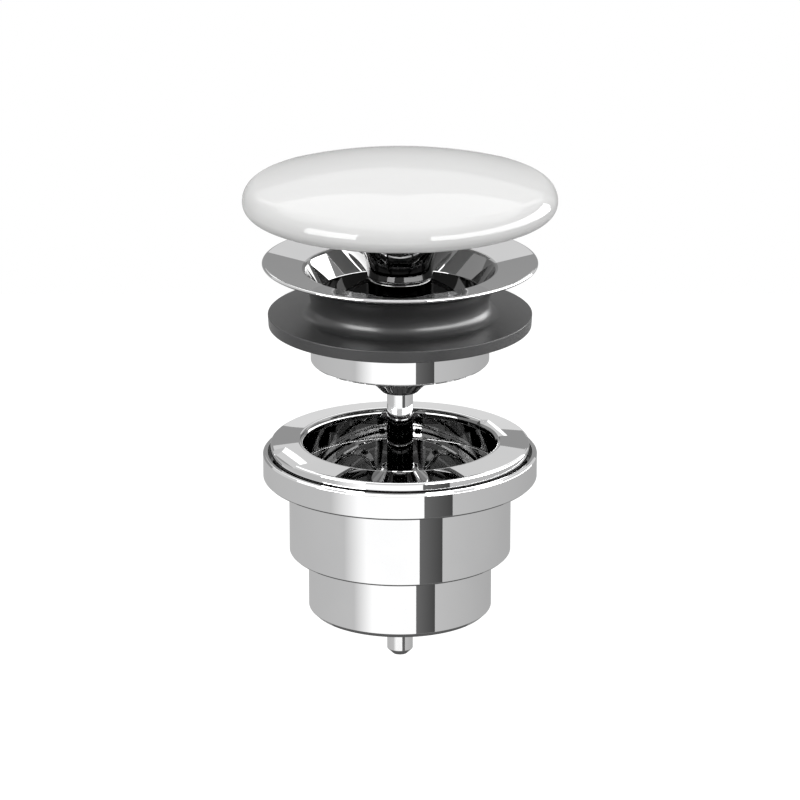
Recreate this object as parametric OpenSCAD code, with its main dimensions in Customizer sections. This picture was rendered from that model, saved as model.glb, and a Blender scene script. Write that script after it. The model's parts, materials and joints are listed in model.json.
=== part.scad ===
// Free-flow basin waste for a 1 1/4 inch outlet, shown with its clamp run open.
// Millimetres. Z is the axis of the waste and points up, and z = 0 is the
// underside of the flange gasket, where the waste sits on the basin.

/* [Ceramic cap] */
// Widest radius of the cap
cap_r = 35.75; // [33:0.05:38]
// Height of the crown above the seat
cap_top_z = 38.1; // [36:0.1:41]
// Radius of the domed top face
dome_r = 115.5; // [90:0.5:140]
// Upper rounding of the rim
cap_round_up = 4.1; // [3:0.1:5]
// Lower rounding of the rim
cap_round_down = 2.85; // [2:0.05:3.5]
// Rise of the underside from the rim inwards, in degrees
cap_under_angle = 5.5; // [3:0.5:7]
// Radius of the recess that takes the stem's plate
cap_recess_r = 17.8; // [16:0.1:20]
// Depth of the pad between ceramic and stem plate
pad_depth = 0.9; // [0.6:0.1:1.2]

/* [Cap stem] */
// Radius of the collar's bottom lip
collar_r = 7.5; // [7:0.05:8]
// Height of the collar's bottom lip
collar_z = 11.5; // [11.3:0.1:13]
// Radius of the arc that flares the collar out
flare_r = 13.5; // [12:0.5:14]
// Radius of the plate under the cap
plate_r = 17.2; // [15:0.1:17.4]
// Radius of the plug that enters the hub
plug_r = 5.6; // [5:0.05:5.7]
// Length of the plug below the collar
plug_len = 12; // [9:0.5:13]
// Thickness of each ring on the plug
plug_ring_d = 1.6; // [1.4:0.1:1.8]

/* [Flange] */
// Outer radius of the flange
flange_r = 31.4; // [30:0.1:33]
// Height of the flange's rim
flange_rim_z = 15.1; // [14:0.1:16]
// Thickness of the flange
flange_t = 0.95; // [0.8:0.05:1.2]
// Radius where the dish turns down into the bowl
dish_r = 21.7; // [21:0.1:23]
// Height of that turn
dish_z = 13.3; // [12.8:0.1:13.6]
// Inner radius of the bowl's lip and of the spigot
throat_r = 18.8; // [18:0.1:19]
// Height of the bowl's lip
throat_z = 7.4; // [7:0.1:8]
// Length of the spigot below the seat
spigot_len = 5; // [4:0.5:6]

/* [Gasket] */
// Radius of the gasket's brim at its top edge
brim_r = 30.15; // [29:0.05:31]
// Thickness of the brim
brim_t = 2.8; // [2:0.1:3.5]
// Outer radius of the neck
neck_r = 20.35; // [20.3:0.05:20.8]
// Radius of the fillet between the brim and the neck
neck_foot_r = 2.4; // [1.5:0.1:2.6]
// Radius of the neck's flare under the dish
neck_flare_r = 7; // [6:0.1:7.1]

/* [Strainer cup] */
// Outer radius of the cup's ring
cup_ring_r = 20.45; // [20.2:0.05:20.8]
// Length of the ring below the seat
cup_ring_len = 8.6; // [8:0.1:10]
// Radius of the hub
hub_r = 7.2; // [6.8:0.1:7.4]
// Height of the hub's top
hub_top_z = 11.4; // [11:0.1:11.4]
// Bore of the hub, which takes the stem's plug
hub_bore_r = 6.03; // [6:0.01:6.1]
// Radius of the hub's bottom face
hub_foot_r = 4.25; // [3.7:0.05:4.6]
// Depth of the hub's bottom face below the seat
hub_foot_z = 15.9; // [15:0.1:17]
// Angle of the hub's cone from the axis, in degrees
hub_cone_angle = 45; // [40:1:55]
// Number of ribs from the hub to the ring
strainer_ribs = 4; // [4:2:8]
// Thickness of a rib
strainer_rib_t = 1.6; // [1.2:0.1:2.2]

/* [Centre screw] */
// Radius of the screw's shank, metric size 6
screw_r = 3; // [2.9:0.05:3.1]
// Depth of the screw's tip below the seat
screw_tip_z = 80.3; // [76:0.1:84]
// Radius of the screw's head
screw_head_r = 5; // [4.8:0.1:5.1]
// Height of the screw's head
screw_head_h = 6; // [5:0.5:6]
// Size of the hexagon socket across its flats
socket_flats = 5; // [4:0.5:6]

/* [Clamp ring] */
// Depth of the clamp ring's crest below the seat
crest_z = 27.6; // [26:0.1:32]
// Rounding of the crest
crest_roll = 1.3; // [0.8:0.1:1.6]
// Radius of the mouth inside the crest
mouth_r = 22.1; // [21.5:0.1:23]
// Outer radius of the clamp ring
clamp_r = 29.8; // [29:0.1:30.2]
// Fall of the clamp ring's face from crest to edge
clamp_fall = 0.6; // [0.4:0.1:1.2]
// Height of the clamp ring's outer edge
clamp_edge_h = 2.75; // [2.2:0.05:3]
// Rounding of the clamp ring's lower edge
clamp_foot_r = 1; // [0.6:0.1:1.2]
// Radius of each spanner scoop's cylinder
scoop_r = 6.4; // [5:0.1:8]
// Depth of each spanner scoop below the face
scoop_depth = 0.8; // [0.5:0.1:1.1]
// Turn of the scoop in the clamp ring's mouth, in degrees
inner_scoop_turn = 20; // [0:1:45]
// Turn of the scoop in the clamp ring's outer edge, in degrees
outer_scoop_turn = 205; // [180:1:225]

/* [Lower body] */
// Radius of the lower body's head
head_r = 31.55; // [30.5:0.05:33]
// Depth of the head's top edge below the seat
head_top_z = 30.4; // [30:0.05:34]
// Depth of the head's underside below the seat
head_low_z = 36.5; // [35:0.1:40]
// Radius of the middle cup
middle_r = 25.6; // [24:0.05:27]
// Depth of the middle cup's underside below the seat
middle_low_z = 54.5; // [50:0.1:60]
// Inner radius of the middle cup
cup_bore_r = 24; // [23:0.1:24.4]
// Radius of the tail piece, 1 1/4 inch pipe size
tail_r = 21.2; // [20.9:0.05:21.3]
// Depth of the tail's end below the seat
tail_end_z = 68.8; // [66:0.1:74]
// Chamfer at the tail's end
tail_chamfer = 1; // [0.8:0.1:1.5]
// Number of arms of the outlet spider
spider_arms = 4; // [3:1:6]
// Thickness of a spider arm
spider_arm_t = 2.2; // [1.8:0.1:3]

/* [Hidden] */

// Smoothness of round pieces
$fn = 96;
// Steps in a drawn arc
arc_steps = 10;
// Gap between pieces of one body that would otherwise share a curved face
seat_gap = 0.05;
// Radial clearance of a shaft that turns or slides in a bore
run_gap = 0.05;
// Small rounding of a metal edge
edge_round = 0.4;

// Points of an arc about (cx, cz), from angle a0 to angle a1, in degrees
function arc(cx, cz, r, a0, a1, n = arc_steps) =
    [for (i = [0:n]) let (a = a0 + (a1 - a0) * i / n) [cx + r * cos(a), cz + r * sin(a)]];

// Solid of revolution about Z from its outline of radius and height
module turned(outline) {
    rotate_extrude() polygon(outline);
}

// Ring of rectangular section between two radii and two heights
module ring(r_in, r_out, z_low, z_high) {
    turned([[r_in, z_low], [r_out, z_low], [r_out, z_high], [r_in, z_high]]);
}

// Ring of round section, centred on radius r at height z
module cord_ring(r, z, d) {
    rotate_extrude() translate([r, z]) circle(d = d, $fn = 32);
}

// Copies of a part in the plane of +X, spread evenly about Z
module spread(count, turn = 0) {
    for (i = [0:count - 1]) {
        rotate([0, 0, turn + i * 360 / count]) children();
    }
}

// Upright plate along +X with its outline of radius and height
module fin(outline, thickness) {
    rotate([90, 0, 0]) translate([0, 0, -thickness / 2]) linear_extrude(thickness) polygon(outline);
}

// Ceramic cap: where the dome meets the rim's upper rounding
cap_arc_r = cap_r - cap_round_up;
cap_dome_z = cap_top_z - dome_r;
cap_arc_angle = acos(cap_arc_r / (dome_r - cap_round_up));
cap_arc_z = cap_dome_z + (dome_r - cap_round_up) * sin(cap_arc_angle);
cap_low_arc_z = cap_arc_z - 0.2;
cap_low_r = cap_r - cap_round_down;
under_r = cap_low_r - cap_round_down * sin(cap_under_angle);
under_z = cap_low_arc_z - cap_round_down * cos(cap_under_angle);
recess_edge_z = under_z + (under_r - cap_recess_r) * tan(cap_under_angle);
recess_top_z = recess_edge_z + 0.8;

// Cap stem: plate against the pad, and the flare below it
plate_top_z = recess_top_z - pad_depth;
flare_x = collar_r + flare_r;
flare_z = collar_z + 0.5;
flare_top_angle = 180 - acos((flare_x - plate_r) / flare_r);
collar_lip = 0.5;
plug_low_z = collar_z - plug_len;
plug_ring_r = hub_bore_r - run_gap - plug_ring_d / 2;
groove_r = plug_ring_r - plug_ring_d / 2 - run_gap;
groove_h = plug_ring_d + 0.3;
groove_z = [plug_low_z + 2.4, plug_low_z + 6];

module ceramic_cap() {
    color("white") turned(concat(
        arc(0, cap_dome_z, dome_r, 90, cap_arc_angle),
        arc(cap_arc_r, cap_arc_z, cap_round_up, cap_arc_angle, 0),
        arc(cap_low_r, cap_low_arc_z, cap_round_down, 0, cap_under_angle - 90),
        [[cap_recess_r, recess_edge_z], [cap_recess_r, recess_top_z], [0, recess_top_z]]
    ));
}

module cap_pad() {
    color("dimgray") translate([0, 0, plate_top_z]) cylinder(h = pad_depth, r = plate_r);
}

module cap_stem() {
    color("silver") difference() {
        turned(concat(
            [[0, plate_top_z], [plate_r, plate_top_z]],
            arc(flare_x, flare_z, flare_r, flare_top_angle, 180),
            arc(collar_r - collar_lip, flare_z, collar_lip, 0, -90, 4),
            [[plug_r, collar_z], [plug_r, plug_low_z + 0.8], [plug_r - 0.8, plug_low_z], [0, plug_low_z]]
        ));
        for (z = groove_z) {
            ring(groove_r, plug_r + 1, z - groove_h / 2, z + groove_h / 2);
        }
    }
}

module stem_o_rings() {
    color("black") for (z = groove_z) {
        cord_ring(plug_ring_r, z, plug_ring_d);
    }
}

// Flange: slopes of the dish and of the bowl's cone, and the outer skin
dish_angle = atan((flange_rim_z - dish_z) / (flange_r - dish_r));
bowl_angle = atan((dish_z - throat_z) / (dish_r - throat_r));
skin_r = throat_r + flange_t;
skin_turn_z = throat_z - flange_t * tan((90 - bowl_angle) / 2);
skin_dish_r = dish_r + flange_t * tan((bowl_angle - dish_angle) / 2) * cos(dish_angle)
    + flange_t * sin(dish_angle);
skin_dish_z = dish_z - flange_t * cos(dish_angle)
    + flange_t * tan((bowl_angle - dish_angle) / 2) * sin(dish_angle);

module flange() {
    color("silver") turned(concat(
        arc(flange_r - flange_t / 2, flange_rim_z - flange_t / 2, flange_t / 2, 90 + dish_angle, dish_angle - 90, 8),
        [
            [skin_dish_r, skin_dish_z], [skin_r, skin_turn_z], [skin_r, -spigot_len],
            [throat_r + 0.3, -spigot_len], [throat_r, 0.3 - spigot_len],
            [throat_r, throat_z], [dish_r, dish_z]
        ]
    ));
}

// Gasket: bore on the spigot, a recess below for the strainer cup's edge, and a
// neck that rises from the brim in a fillet and flares out under the dish
gasket_bore_r = skin_r + seat_gap;
gasket_recess_r = cup_ring_r + 0.3;
gasket_recess_z = 0.2;
neck_start_z = brim_t + neck_foot_r;
neck_end_angle = 70;
gasket_hold_z = skin_turn_z - 0.3;

module flange_gasket() {
    color("black") turned(concat(
        [
            [gasket_bore_r, gasket_recess_z], [gasket_recess_r, gasket_recess_z], [gasket_recess_r, 0],
            [brim_r - 0.15, 0], [brim_r, brim_t - 0.15], [brim_r - 0.15, brim_t]
        ],
        arc(neck_r + neck_foot_r, neck_start_z, neck_foot_r, 270, 185, 7),
        arc(neck_r + neck_flare_r, neck_start_z, neck_flare_r, 180, 180 - neck_end_angle),
        [
            [skin_dish_r + 0.6, skin_dish_z - 0.35],
            [skin_dish_r + seat_gap, skin_dish_z - 0.35],
            [gasket_bore_r, gasket_hold_z]
        ]
    ));
}

// Strainer cup: socket on the spigot, hub with its cone, ribs between them
cone_slope = tan(hub_cone_angle);
hub_cone_top_z = -hub_foot_z + (hub_r - hub_foot_r) / cone_slope;
rib_top_z = -3.2;
boss_top_z = -3;
boss_bore_r = screw_head_r + 0.3;
boss_socket_z = -6;
screw_seat_z = -12.2;
washer_t = 1;
socket_r = skin_r + seat_gap;
strainer_seal_t = 0.8;
socket_floor_z = -spigot_len - strainer_seal_t;

module strainer_cup() {
    color("silver") {
        turned([
            [throat_r, -cup_ring_len], [cup_ring_r - edge_round, -cup_ring_len],
            [cup_ring_r, edge_round - cup_ring_len], [cup_ring_r, 0],
            [socket_r, 0], [socket_r, socket_floor_z], [throat_r, socket_floor_z]
        ]);
        turned([
            [screw_r + run_gap, -hub_foot_z], [hub_foot_r, -hub_foot_z],
            [hub_r, hub_cone_top_z], [hub_r, boss_top_z],
            [hub_bore_r, boss_top_z], [hub_bore_r, boss_socket_z],
            [boss_bore_r, boss_socket_z], [boss_bore_r, screw_seat_z], [screw_r + run_gap, screw_seat_z]
        ]);
        spread(strainer_ribs, 45) fin([
            [hub_r - 0.5, -hub_foot_z + (hub_r - 0.5 - hub_foot_r) / cone_slope],
            [throat_r + 0.3, -cup_ring_len + 0.4], [throat_r + 0.3, socket_floor_z - 0.2],
            [hub_r - 0.5, rib_top_z]
        ], strainer_rib_t);
    }
}

module strainer_seal() {
    color("black") ring(throat_r + 0.1, skin_r, socket_floor_z, -spigot_len);
}

// Sleeve that stands in the hub's boss and takes the stem's plug
sleeve_foot_r = hub_bore_r - seat_gap;
sleeve_foot_bore_r = screw_head_r + 0.2;

module hub_sleeve() {
    color("dimgray") turned([
        [sleeve_foot_bore_r, boss_socket_z + 0.1], [sleeve_foot_r, boss_socket_z + 0.1],
        [sleeve_foot_r, boss_top_z + 0.02], [hub_r, boss_top_z + 0.02],
        [hub_r, hub_top_z - edge_round], [hub_r - edge_round, hub_top_z],
        [hub_bore_r + 0.4, hub_top_z], [hub_bore_r, hub_top_z - 0.4],
        [hub_bore_r, plug_low_z - 0.6], [sleeve_foot_bore_r, plug_low_z - 1.4]
    ]);
}

module screw_seal() {
    color("black") ring(screw_r + run_gap, screw_head_r, screw_seat_z, screw_seat_z + washer_t);
}

module screw_washer() {
    color("lightgray") {
        ring(screw_r + run_gap, screw_head_r, screw_seat_z + washer_t, screw_seat_z + 2 * washer_t);
    }
}

// Centre screw: socket head under the sleeve, plain shank, bevelled tip
head_low_face_z = screw_seat_z + 2 * washer_t;
head_top_face_z = head_low_face_z + screw_head_h;
tip_bevel = 1.3;
socket_depth = 3;

module centre_screw() {
    color("silver") difference() {
        turned([
            [0, -screw_tip_z], [screw_r - tip_bevel, -screw_tip_z], [screw_r, tip_bevel - screw_tip_z],
            [screw_r, head_low_face_z], [screw_head_r, head_low_face_z],
            [screw_head_r, head_top_face_z - 0.5], [screw_head_r - 0.5, head_top_face_z],
            [0, head_top_face_z]
        ]);
        translate([0, 0, head_top_face_z - socket_depth]) {
            cylinder(h = socket_depth + 1, d = socket_flats / cos(30), $fn = 6);
        }
    }
}

// Clamp ring: rolled crest, sloping face, rounded edge, and the skirt that screws in
clamp_edge_z = -crest_z - clamp_fall;
clamp_low_z = clamp_edge_z - clamp_edge_h;
clamp_corner = 0.6;
skirt_r = 26.5;
skirt_low_z = -35.4;
scoop_len = 12.4;

// Cylindrical scoop along the tangent, its axis at radius r, above the face
module scoop(r, face_z) {
    translate([r, 0, face_z + scoop_r - scoop_depth]) rotate([90, 0, 0]) {
        cylinder(h = scoop_len, r = scoop_r, center = true);
    }
}

module clamp_ring() {
    color("silver") difference() {
        turned(concat(
            arc(mouth_r + crest_roll, -crest_z - crest_roll, crest_roll, 90, 180, 6),
            [
                [mouth_r, -crest_z - crest_roll - 0.8], [cup_bore_r, -crest_z - crest_roll - 1.1],
                [cup_bore_r, skirt_low_z], [skirt_r, skirt_low_z], [skirt_r, clamp_low_z]
            ],
            arc(clamp_r - clamp_foot_r, clamp_low_z + clamp_foot_r, clamp_foot_r, -90, 0, 6),
            arc(clamp_r - clamp_corner, clamp_edge_z - clamp_corner, clamp_corner, 0, 85, 5)
        ));
        rotate([0, 0, outer_scoop_turn]) scoop(clamp_r - 0.5, clamp_edge_z + 0.2);
        rotate([0, 0, inner_scoop_turn]) scoop(mouth_r - 1, -crest_z - 0.1);
    }
}

// Seal in the head's recess, under the clamp ring
seal_r = 28.6;
seal_t = 1.4;
seal_low_z = clamp_low_z - seal_t;
recess_r = 30.4;

module clamp_seal() {
    color("black") ring(skirt_r + 0.2, seal_r, seal_low_z, clamp_low_z);
}

// Lower cup: head with its recess and thread for the skirt, and the middle cup
head_bevel = 0.4;
skirt_bore_r = skirt_r + seat_gap;
cup_floor_z = -middle_low_z + 1.7;
floor_hole_r = 20.35;

module lower_cup() {
    color("silver") turned([
        [floor_hole_r, -middle_low_z], [middle_r - head_bevel, -middle_low_z],
        [middle_r, head_bevel - middle_low_z], [middle_r, -head_low_z],
        [head_r - head_bevel, -head_low_z], [head_r, head_bevel - head_low_z],
        [head_r, -head_top_z - head_bevel], [head_r - head_bevel, -head_top_z],
        [recess_r, -head_top_z], [recess_r, seal_low_z], [skirt_bore_r, seal_low_z],
        [skirt_bore_r, skirt_low_z - 0.1], [cup_bore_r, skirt_low_z - 0.1],
        [cup_bore_r, cup_floor_z + 0.8], [cup_bore_r - 0.8, cup_floor_z], [floor_hole_r, cup_floor_z]
    ]);
}

// Tail piece: neck through the cup's floor, seat and groove for the spider
neck_out_r = floor_hole_r - seat_gap;
tail_bore_r = 18.4;
spider_bore_r = 19.3;
tail_neck_z = -49.4;
spider_seat_z = -58;
groove_out_r = 19.9;
groove_top_z = spider_seat_z - 4;
snap_t = 1.2;

module tail_piece() {
    color("silver") turned([
        [spider_bore_r, -tail_end_z], [tail_r - tail_chamfer, -tail_end_z],
        [tail_r, tail_chamfer - tail_end_z], [tail_r, -middle_low_z],
        [neck_out_r, -middle_low_z], [neck_out_r, tail_neck_z], [tail_bore_r + 0.4, tail_neck_z],
        [tail_bore_r, tail_neck_z - 0.4], [tail_bore_r, spider_seat_z], [spider_bore_r, spider_seat_z],
        [spider_bore_r, groove_top_z], [groove_out_r, groove_top_z],
        [groove_out_r, groove_top_z - snap_t - 0.1], [spider_bore_r, groove_top_z - snap_t - 0.1]
    ]);
}

tail_seal_t = 1;
lock_ring_r = 23;
lock_ring_h = 2.2;
lock_slots = 6;

module tail_seal() {
    color("black") ring(neck_out_r + seat_gap, lock_ring_r, cup_floor_z, cup_floor_z + tail_seal_t);
}

module tail_lock_ring() {
    slot_w = 4;
    color("silver") difference() {
        ring(neck_out_r + seat_gap, lock_ring_r, cup_floor_z + tail_seal_t,
            cup_floor_z + tail_seal_t + lock_ring_h);
        spread(lock_slots) translate([lock_ring_r - 1.2, -slot_w / 2, cup_floor_z + tail_seal_t + 0.6]) {
            cube([3, slot_w, lock_ring_h]);
        }
    }
}

// Outlet spider: rim against the tail's seat, arms, boss for the insert
spider_r = spider_bore_r - seat_gap;
spider_rim_r = 17.2;
boss_r = 5.2;
boss_high_z = -52;
boss_low_z = -64;
insert_r = 4;
insert_head_r = 4.8;

module outlet_spider() {
    color("silver") {
        ring(spider_rim_r, spider_r, groove_top_z, spider_seat_z);
        difference() {
            turned([
                [0, boss_low_z], [boss_r, boss_low_z], [boss_r, boss_high_z + 1.5],
                [boss_r - 1, boss_high_z], [0, boss_high_z]
            ]);
            cylinder(h = 200, r = insert_r, center = true);
        }
        spread(spider_arms, 45) fin([
            [boss_r - 0.4, boss_low_z + 0.6], [spider_rim_r + 0.5, groove_top_z],
            [spider_rim_r + 0.5, spider_seat_z], [boss_r - 0.4, boss_high_z - 1.8]
        ], spider_arm_t);
    }
}

// Open snap ring under the spider's rim
module spider_snap_ring() {
    gap_w = 5;
    color("gray") difference() {
        ring(17.6, groove_out_r - 0.1, groove_top_z - snap_t, groove_top_z);
        translate([0, -gap_w / 2, groove_top_z - snap_t - 1]) cube([30, gap_w, snap_t + 2]);
    }
}

// Insert with the thread for the screw, its head below the boss
module thread_insert() {
    color("silver") turned([
        [screw_r + run_gap, boss_low_z - 1], [insert_head_r, boss_low_z - 1],
        [insert_head_r, boss_low_z], [insert_r - seat_gap / 2, boss_low_z],
        [insert_r - seat_gap / 2, boss_high_z - 0.2], [screw_r + run_gap, boss_high_z - 0.2]
    ]);
}

ceramic_cap();
cap_pad();
cap_stem();
stem_o_rings();
flange();
flange_gasket();
strainer_cup();
strainer_seal();
hub_sleeve();
screw_washer();
screw_seal();
centre_screw();
clamp_ring();
clamp_seal();
lower_cup();
tail_piece();
tail_seal();
tail_lock_ring();
outlet_spider();
spider_snap_ring();
thread_insert();
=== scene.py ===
"""Looks of a free-flow basin waste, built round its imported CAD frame.

Every piece is modelled again at a finer grain than the frame, on the same sizes:
turned pieces come from their outlines, ribs, arms and slots are spread about the
axis, and all of them carry the exact normals of their surfaces, so that the chrome
mirrors cleanly. Outlines are in millimetres of radius and height, as the frame's
sizes are read, and meshes are in metres.
"""

from __future__ import annotations

import json
import logging
import math
from dataclasses import dataclass
from enum import Enum, IntEnum
from typing import Callable, Mapping, Sequence, Union

import bmesh
import bpy
import numpy as np
from bpy.types import Material, Mesh, Node, NodeOutputs, NodeSocket, NodeTree, Object
from mathutils import Matrix, Vector

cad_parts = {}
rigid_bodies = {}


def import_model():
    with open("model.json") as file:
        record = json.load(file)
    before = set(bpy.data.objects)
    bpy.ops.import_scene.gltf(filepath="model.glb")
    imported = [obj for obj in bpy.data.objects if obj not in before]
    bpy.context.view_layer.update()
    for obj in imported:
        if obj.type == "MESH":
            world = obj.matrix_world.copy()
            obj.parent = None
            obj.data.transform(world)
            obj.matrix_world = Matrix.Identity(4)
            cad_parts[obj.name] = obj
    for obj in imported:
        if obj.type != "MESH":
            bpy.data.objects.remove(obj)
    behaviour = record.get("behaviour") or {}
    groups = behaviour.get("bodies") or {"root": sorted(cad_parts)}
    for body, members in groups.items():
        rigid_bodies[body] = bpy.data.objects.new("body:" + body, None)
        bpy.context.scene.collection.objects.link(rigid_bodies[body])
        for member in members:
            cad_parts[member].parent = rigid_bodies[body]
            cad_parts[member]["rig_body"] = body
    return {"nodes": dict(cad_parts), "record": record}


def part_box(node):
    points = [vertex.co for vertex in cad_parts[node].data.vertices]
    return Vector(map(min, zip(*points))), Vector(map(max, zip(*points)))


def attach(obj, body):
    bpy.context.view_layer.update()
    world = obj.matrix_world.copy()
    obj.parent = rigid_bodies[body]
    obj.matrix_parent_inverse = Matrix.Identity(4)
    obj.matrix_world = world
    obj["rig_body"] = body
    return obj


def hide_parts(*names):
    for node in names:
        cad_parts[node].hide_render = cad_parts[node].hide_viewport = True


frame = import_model()

LOG = logging.getLogger("basin_waste")
MM = 0.001
SAME = 1e-6
"""Points closer than this, in millimetres, are one point."""
TINY = 1e-12
"""Keeps a length that is divided by above zero."""

Pair = tuple[float, float]
Point = Pair
"""Radius and height in millimetres."""
Tone = tuple[float, float, float]


class Steps(IntEnum):
    """Steps round the axis of a turned piece."""

    WIDE = 320
    TAIL = 288
    USUAL = 256
    SCOOP = 240
    SLIM = 192
    SMALL = 160
    HIDDEN = 128
    HEXAGON = 6


# Outlines


@dataclass(frozen=True)
class Corner:
    """A corner of an outline, in millimetres, with the radius of its rounding."""

    r: float
    z: float
    rounding: float = 0.0

    @property
    def start(self) -> Point:
        """The corner's point, where it starts and ends unless it is rounded."""
        return self.r, self.z

    end = start


@dataclass(frozen=True)
class Bow:
    """An arc of an outline about its centre, in millimetres and degrees."""

    r: float
    z: float
    radius: float
    first: float
    last: float

    def at(self, angle: float) -> Point:
        """Returns the point of the arc at an angle in degrees."""
        turn = math.radians(angle)
        return self.r + self.radius * math.cos(turn), self.z + self.radius * math.sin(turn)

    @property
    def start(self) -> Point:
        """The arc's first point."""
        return self.at(self.first)

    @property
    def end(self) -> Point:
        """The arc's last point."""
        return self.at(self.last)


Item = Union[Corner, Bow]


def rounded(before: Point, corner: Corner, after: Point) -> Bow | None:
    """Finds the arc that rounds a corner.

    Args:
        before: The point that the outline comes from.
        corner: The corner, with its rounding.
        after: The point that the outline goes to.

    Returns:
        The arc, or None where the corner is sharp or the outline runs straight on.
    """
    straight, side_share = math.radians(89), 0.49
    tip = Vector(corner.start)
    back, ahead = Vector(before) - tip, Vector(after) - tip
    shorter = min(back.length, ahead.length)
    if corner.rounding <= 0 or shorter < SAME:
        return None
    half = back.angle(ahead) / 2
    if half > straight:
        return None
    reach = min(corner.rounding / math.tan(half), side_share * shorter)
    radius = reach * math.tan(half)
    back, ahead = back.normalized(), ahead.normalized()
    middle = tip + (back + ahead).normalized() * radius / math.sin(half)
    ends = [tip + side * reach - middle for side in (back, ahead)]
    first, last = (math.degrees(math.atan2(end.y, end.x)) for end in ends)
    sweep = (last - first + 180) % 360 - 180
    return Bow(middle.x, middle.y, radius, first, first + sweep)


@dataclass(frozen=True)
class Edge:
    """A straight or round edge of an outline, which turns into one smooth surface."""

    start: Point
    end: Point
    bow: Bow | None
    outward: float

    def away(self, places: np.ndarray) -> np.ndarray:
        """Measures how far places lie from the surface.

        Args:
            places: Places in metres, one in each row.

        Returns:
            The distances in millimetres.
        """
        slack, points = 1e-3, in_section(places)
        start = np.array(self.start)
        along = np.array(self.end) - start
        share = np.clip(((points - start) @ along) / max(along @ along, TINY), 0, 1)
        chord = np.linalg.norm(points - start - share[:, None] * along, axis=1)
        if self.bow is None:
            return chord
        centre = np.array((self.bow.r, self.bow.z))
        depth = np.abs(np.linalg.norm(points - centre, axis=1) - self.bow.radius)
        near = chord <= 0.5 * np.linalg.norm(along) + slack
        return np.where(near, depth, chord + depth)

    def normals(self, places: np.ndarray) -> np.ndarray:
        """Works out the surface's outward normals.

        Args:
            places: Places in metres, one in each row.

        Returns:
            The normals at the places.
        """
        if self.bow is None:
            dr, dz = self.end[0] - self.start[0], self.end[1] - self.start[1]
            normal = np.array((dz, -dr)) * self.outward / math.hypot(dr, dz)
            flat = np.repeat(normal[None], len(places), axis=0)
        else:
            spokes = in_section(places) - np.array((self.bow.r, self.bow.z))
            turning = math.copysign(1, self.bow.last - self.bow.first)
            flat = unit_rows(spokes) * self.outward * turning
        return np.concatenate((unit_rows(places[:, :2]) * flat[:, :1], flat[:, 1:]), axis=1)


def unit_rows(rows: np.ndarray) -> np.ndarray:
    """Returns vectors, one in each row, at a length of one."""
    return rows / np.maximum(np.linalg.norm(rows, axis=1, keepdims=True), TINY)


def in_section(places: np.ndarray) -> np.ndarray:
    """Returns places in metres as radius and height in millimetres."""
    return np.stack((np.hypot(places[:, 0], places[:, 1]), places[:, 2]), axis=1) / MM


@dataclass(frozen=True)
class Outline:
    """The outline of a turned piece, closed on itself or on the axis.

    The tolerance is how far a straight step may lie from its arc, in millimetres,
    and at the coarsest it is a share of the arc's radius.
    """

    items: tuple[Item, ...]
    tolerance: float = 0.002
    coarsest: float = 0.02

    def bows_and_corners(self) -> list[Item]:
        """Rounds the corners.

        Returns:
            The items, with each rounded corner as its arc.
        """
        around = zip((self.items[-1], *self.items), self.items, (*self.items[1:], self.items[0]))
        return [
            item if isinstance(item, Bow) else rounded(before.end, item, after.start) or item
            for before, item, after in around
        ]

    def points_of(self, item: Item) -> list[Point]:
        """Divides one item into points.

        Args:
            item: An arc or a corner.

        Returns:
            Its points, an arc's close enough for the tolerance.
        """
        if isinstance(item, Corner):
            return [item.start]
        sweep = item.last - item.first
        step = 2 * math.acos(1 - min(self.tolerance / item.radius, self.coarsest))
        count = max(2, math.ceil(math.radians(abs(sweep)) / step))
        return [item.at(item.first + sweep * i / count) for i in range(count + 1)]

    def edges(self) -> list[Edge]:
        """Works out the outline's edges and their outward side.

        Returns:
            The edges in order.
        """
        items = self.bows_and_corners()
        runs = [self.points_of(item) for item in items]
        loop = np.array([point for run in runs for point in run])
        after = np.roll(loop, -1, axis=0)
        area = np.sum(loop[:, 0] * after[:, 1] - after[:, 0] * loop[:, 1]) / 2
        outward, made = math.copysign(1, area), []
        for i, item in enumerate(items):
            if isinstance(item, Bow):
                made.append(Edge(runs[i][0], runs[i][-1], item, outward))
            start, end = runs[i][-1], runs[(i + 1) % len(items)][0]
            on_axis = max(start[0], end[0]) < SAME
            if math.dist(start, end) > SAME and not on_axis:
                made.append(Edge(start, end, None, outward))
        return made

    def points(self) -> list[Point]:
        """Divides the outline into points.

        Returns:
            All points in order, none of them twice.
        """
        kept: list[Point] = []
        for item in self.bows_and_corners():
            for point in self.points_of(item):
                if not kept or math.dist(kept[-1], point) > SAME:
                    kept.append(point)
        if math.dist(kept[0], kept[-1]) < SAME:
            kept.pop()
        return kept


def outline(*items: Bow | tuple[float, ...]) -> Outline:
    """Returns the outline through arcs and corners, each a radius, height and rounding."""
    return Outline(tuple(item if isinstance(item, Bow) else Corner(*item) for item in items))


def box_corners(inner: float, outer: float, low: float, high: float) -> tuple[Point, ...]:
    """Returns the four corners of a plain section in order."""
    return (inner, low), (outer, low), (outer, high), (inner, high)


def ring_outline(inner: float, outer: float, low: float, high: float, rounding: float) -> Outline:
    """Returns the outline of a plain ring with its four edges rounded."""
    return outline(*((*corner, rounding) for corner in box_corners(inner, outer, low, high)))


def disc_outline(radius: float, low: float, high: float, rounding: float = 0.0) -> Outline:
    """Returns the outline of a plain disc with its edges rounded."""
    return outline((0, low), (radius, low, rounding), (radius, high, rounding), (0, high))


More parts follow.
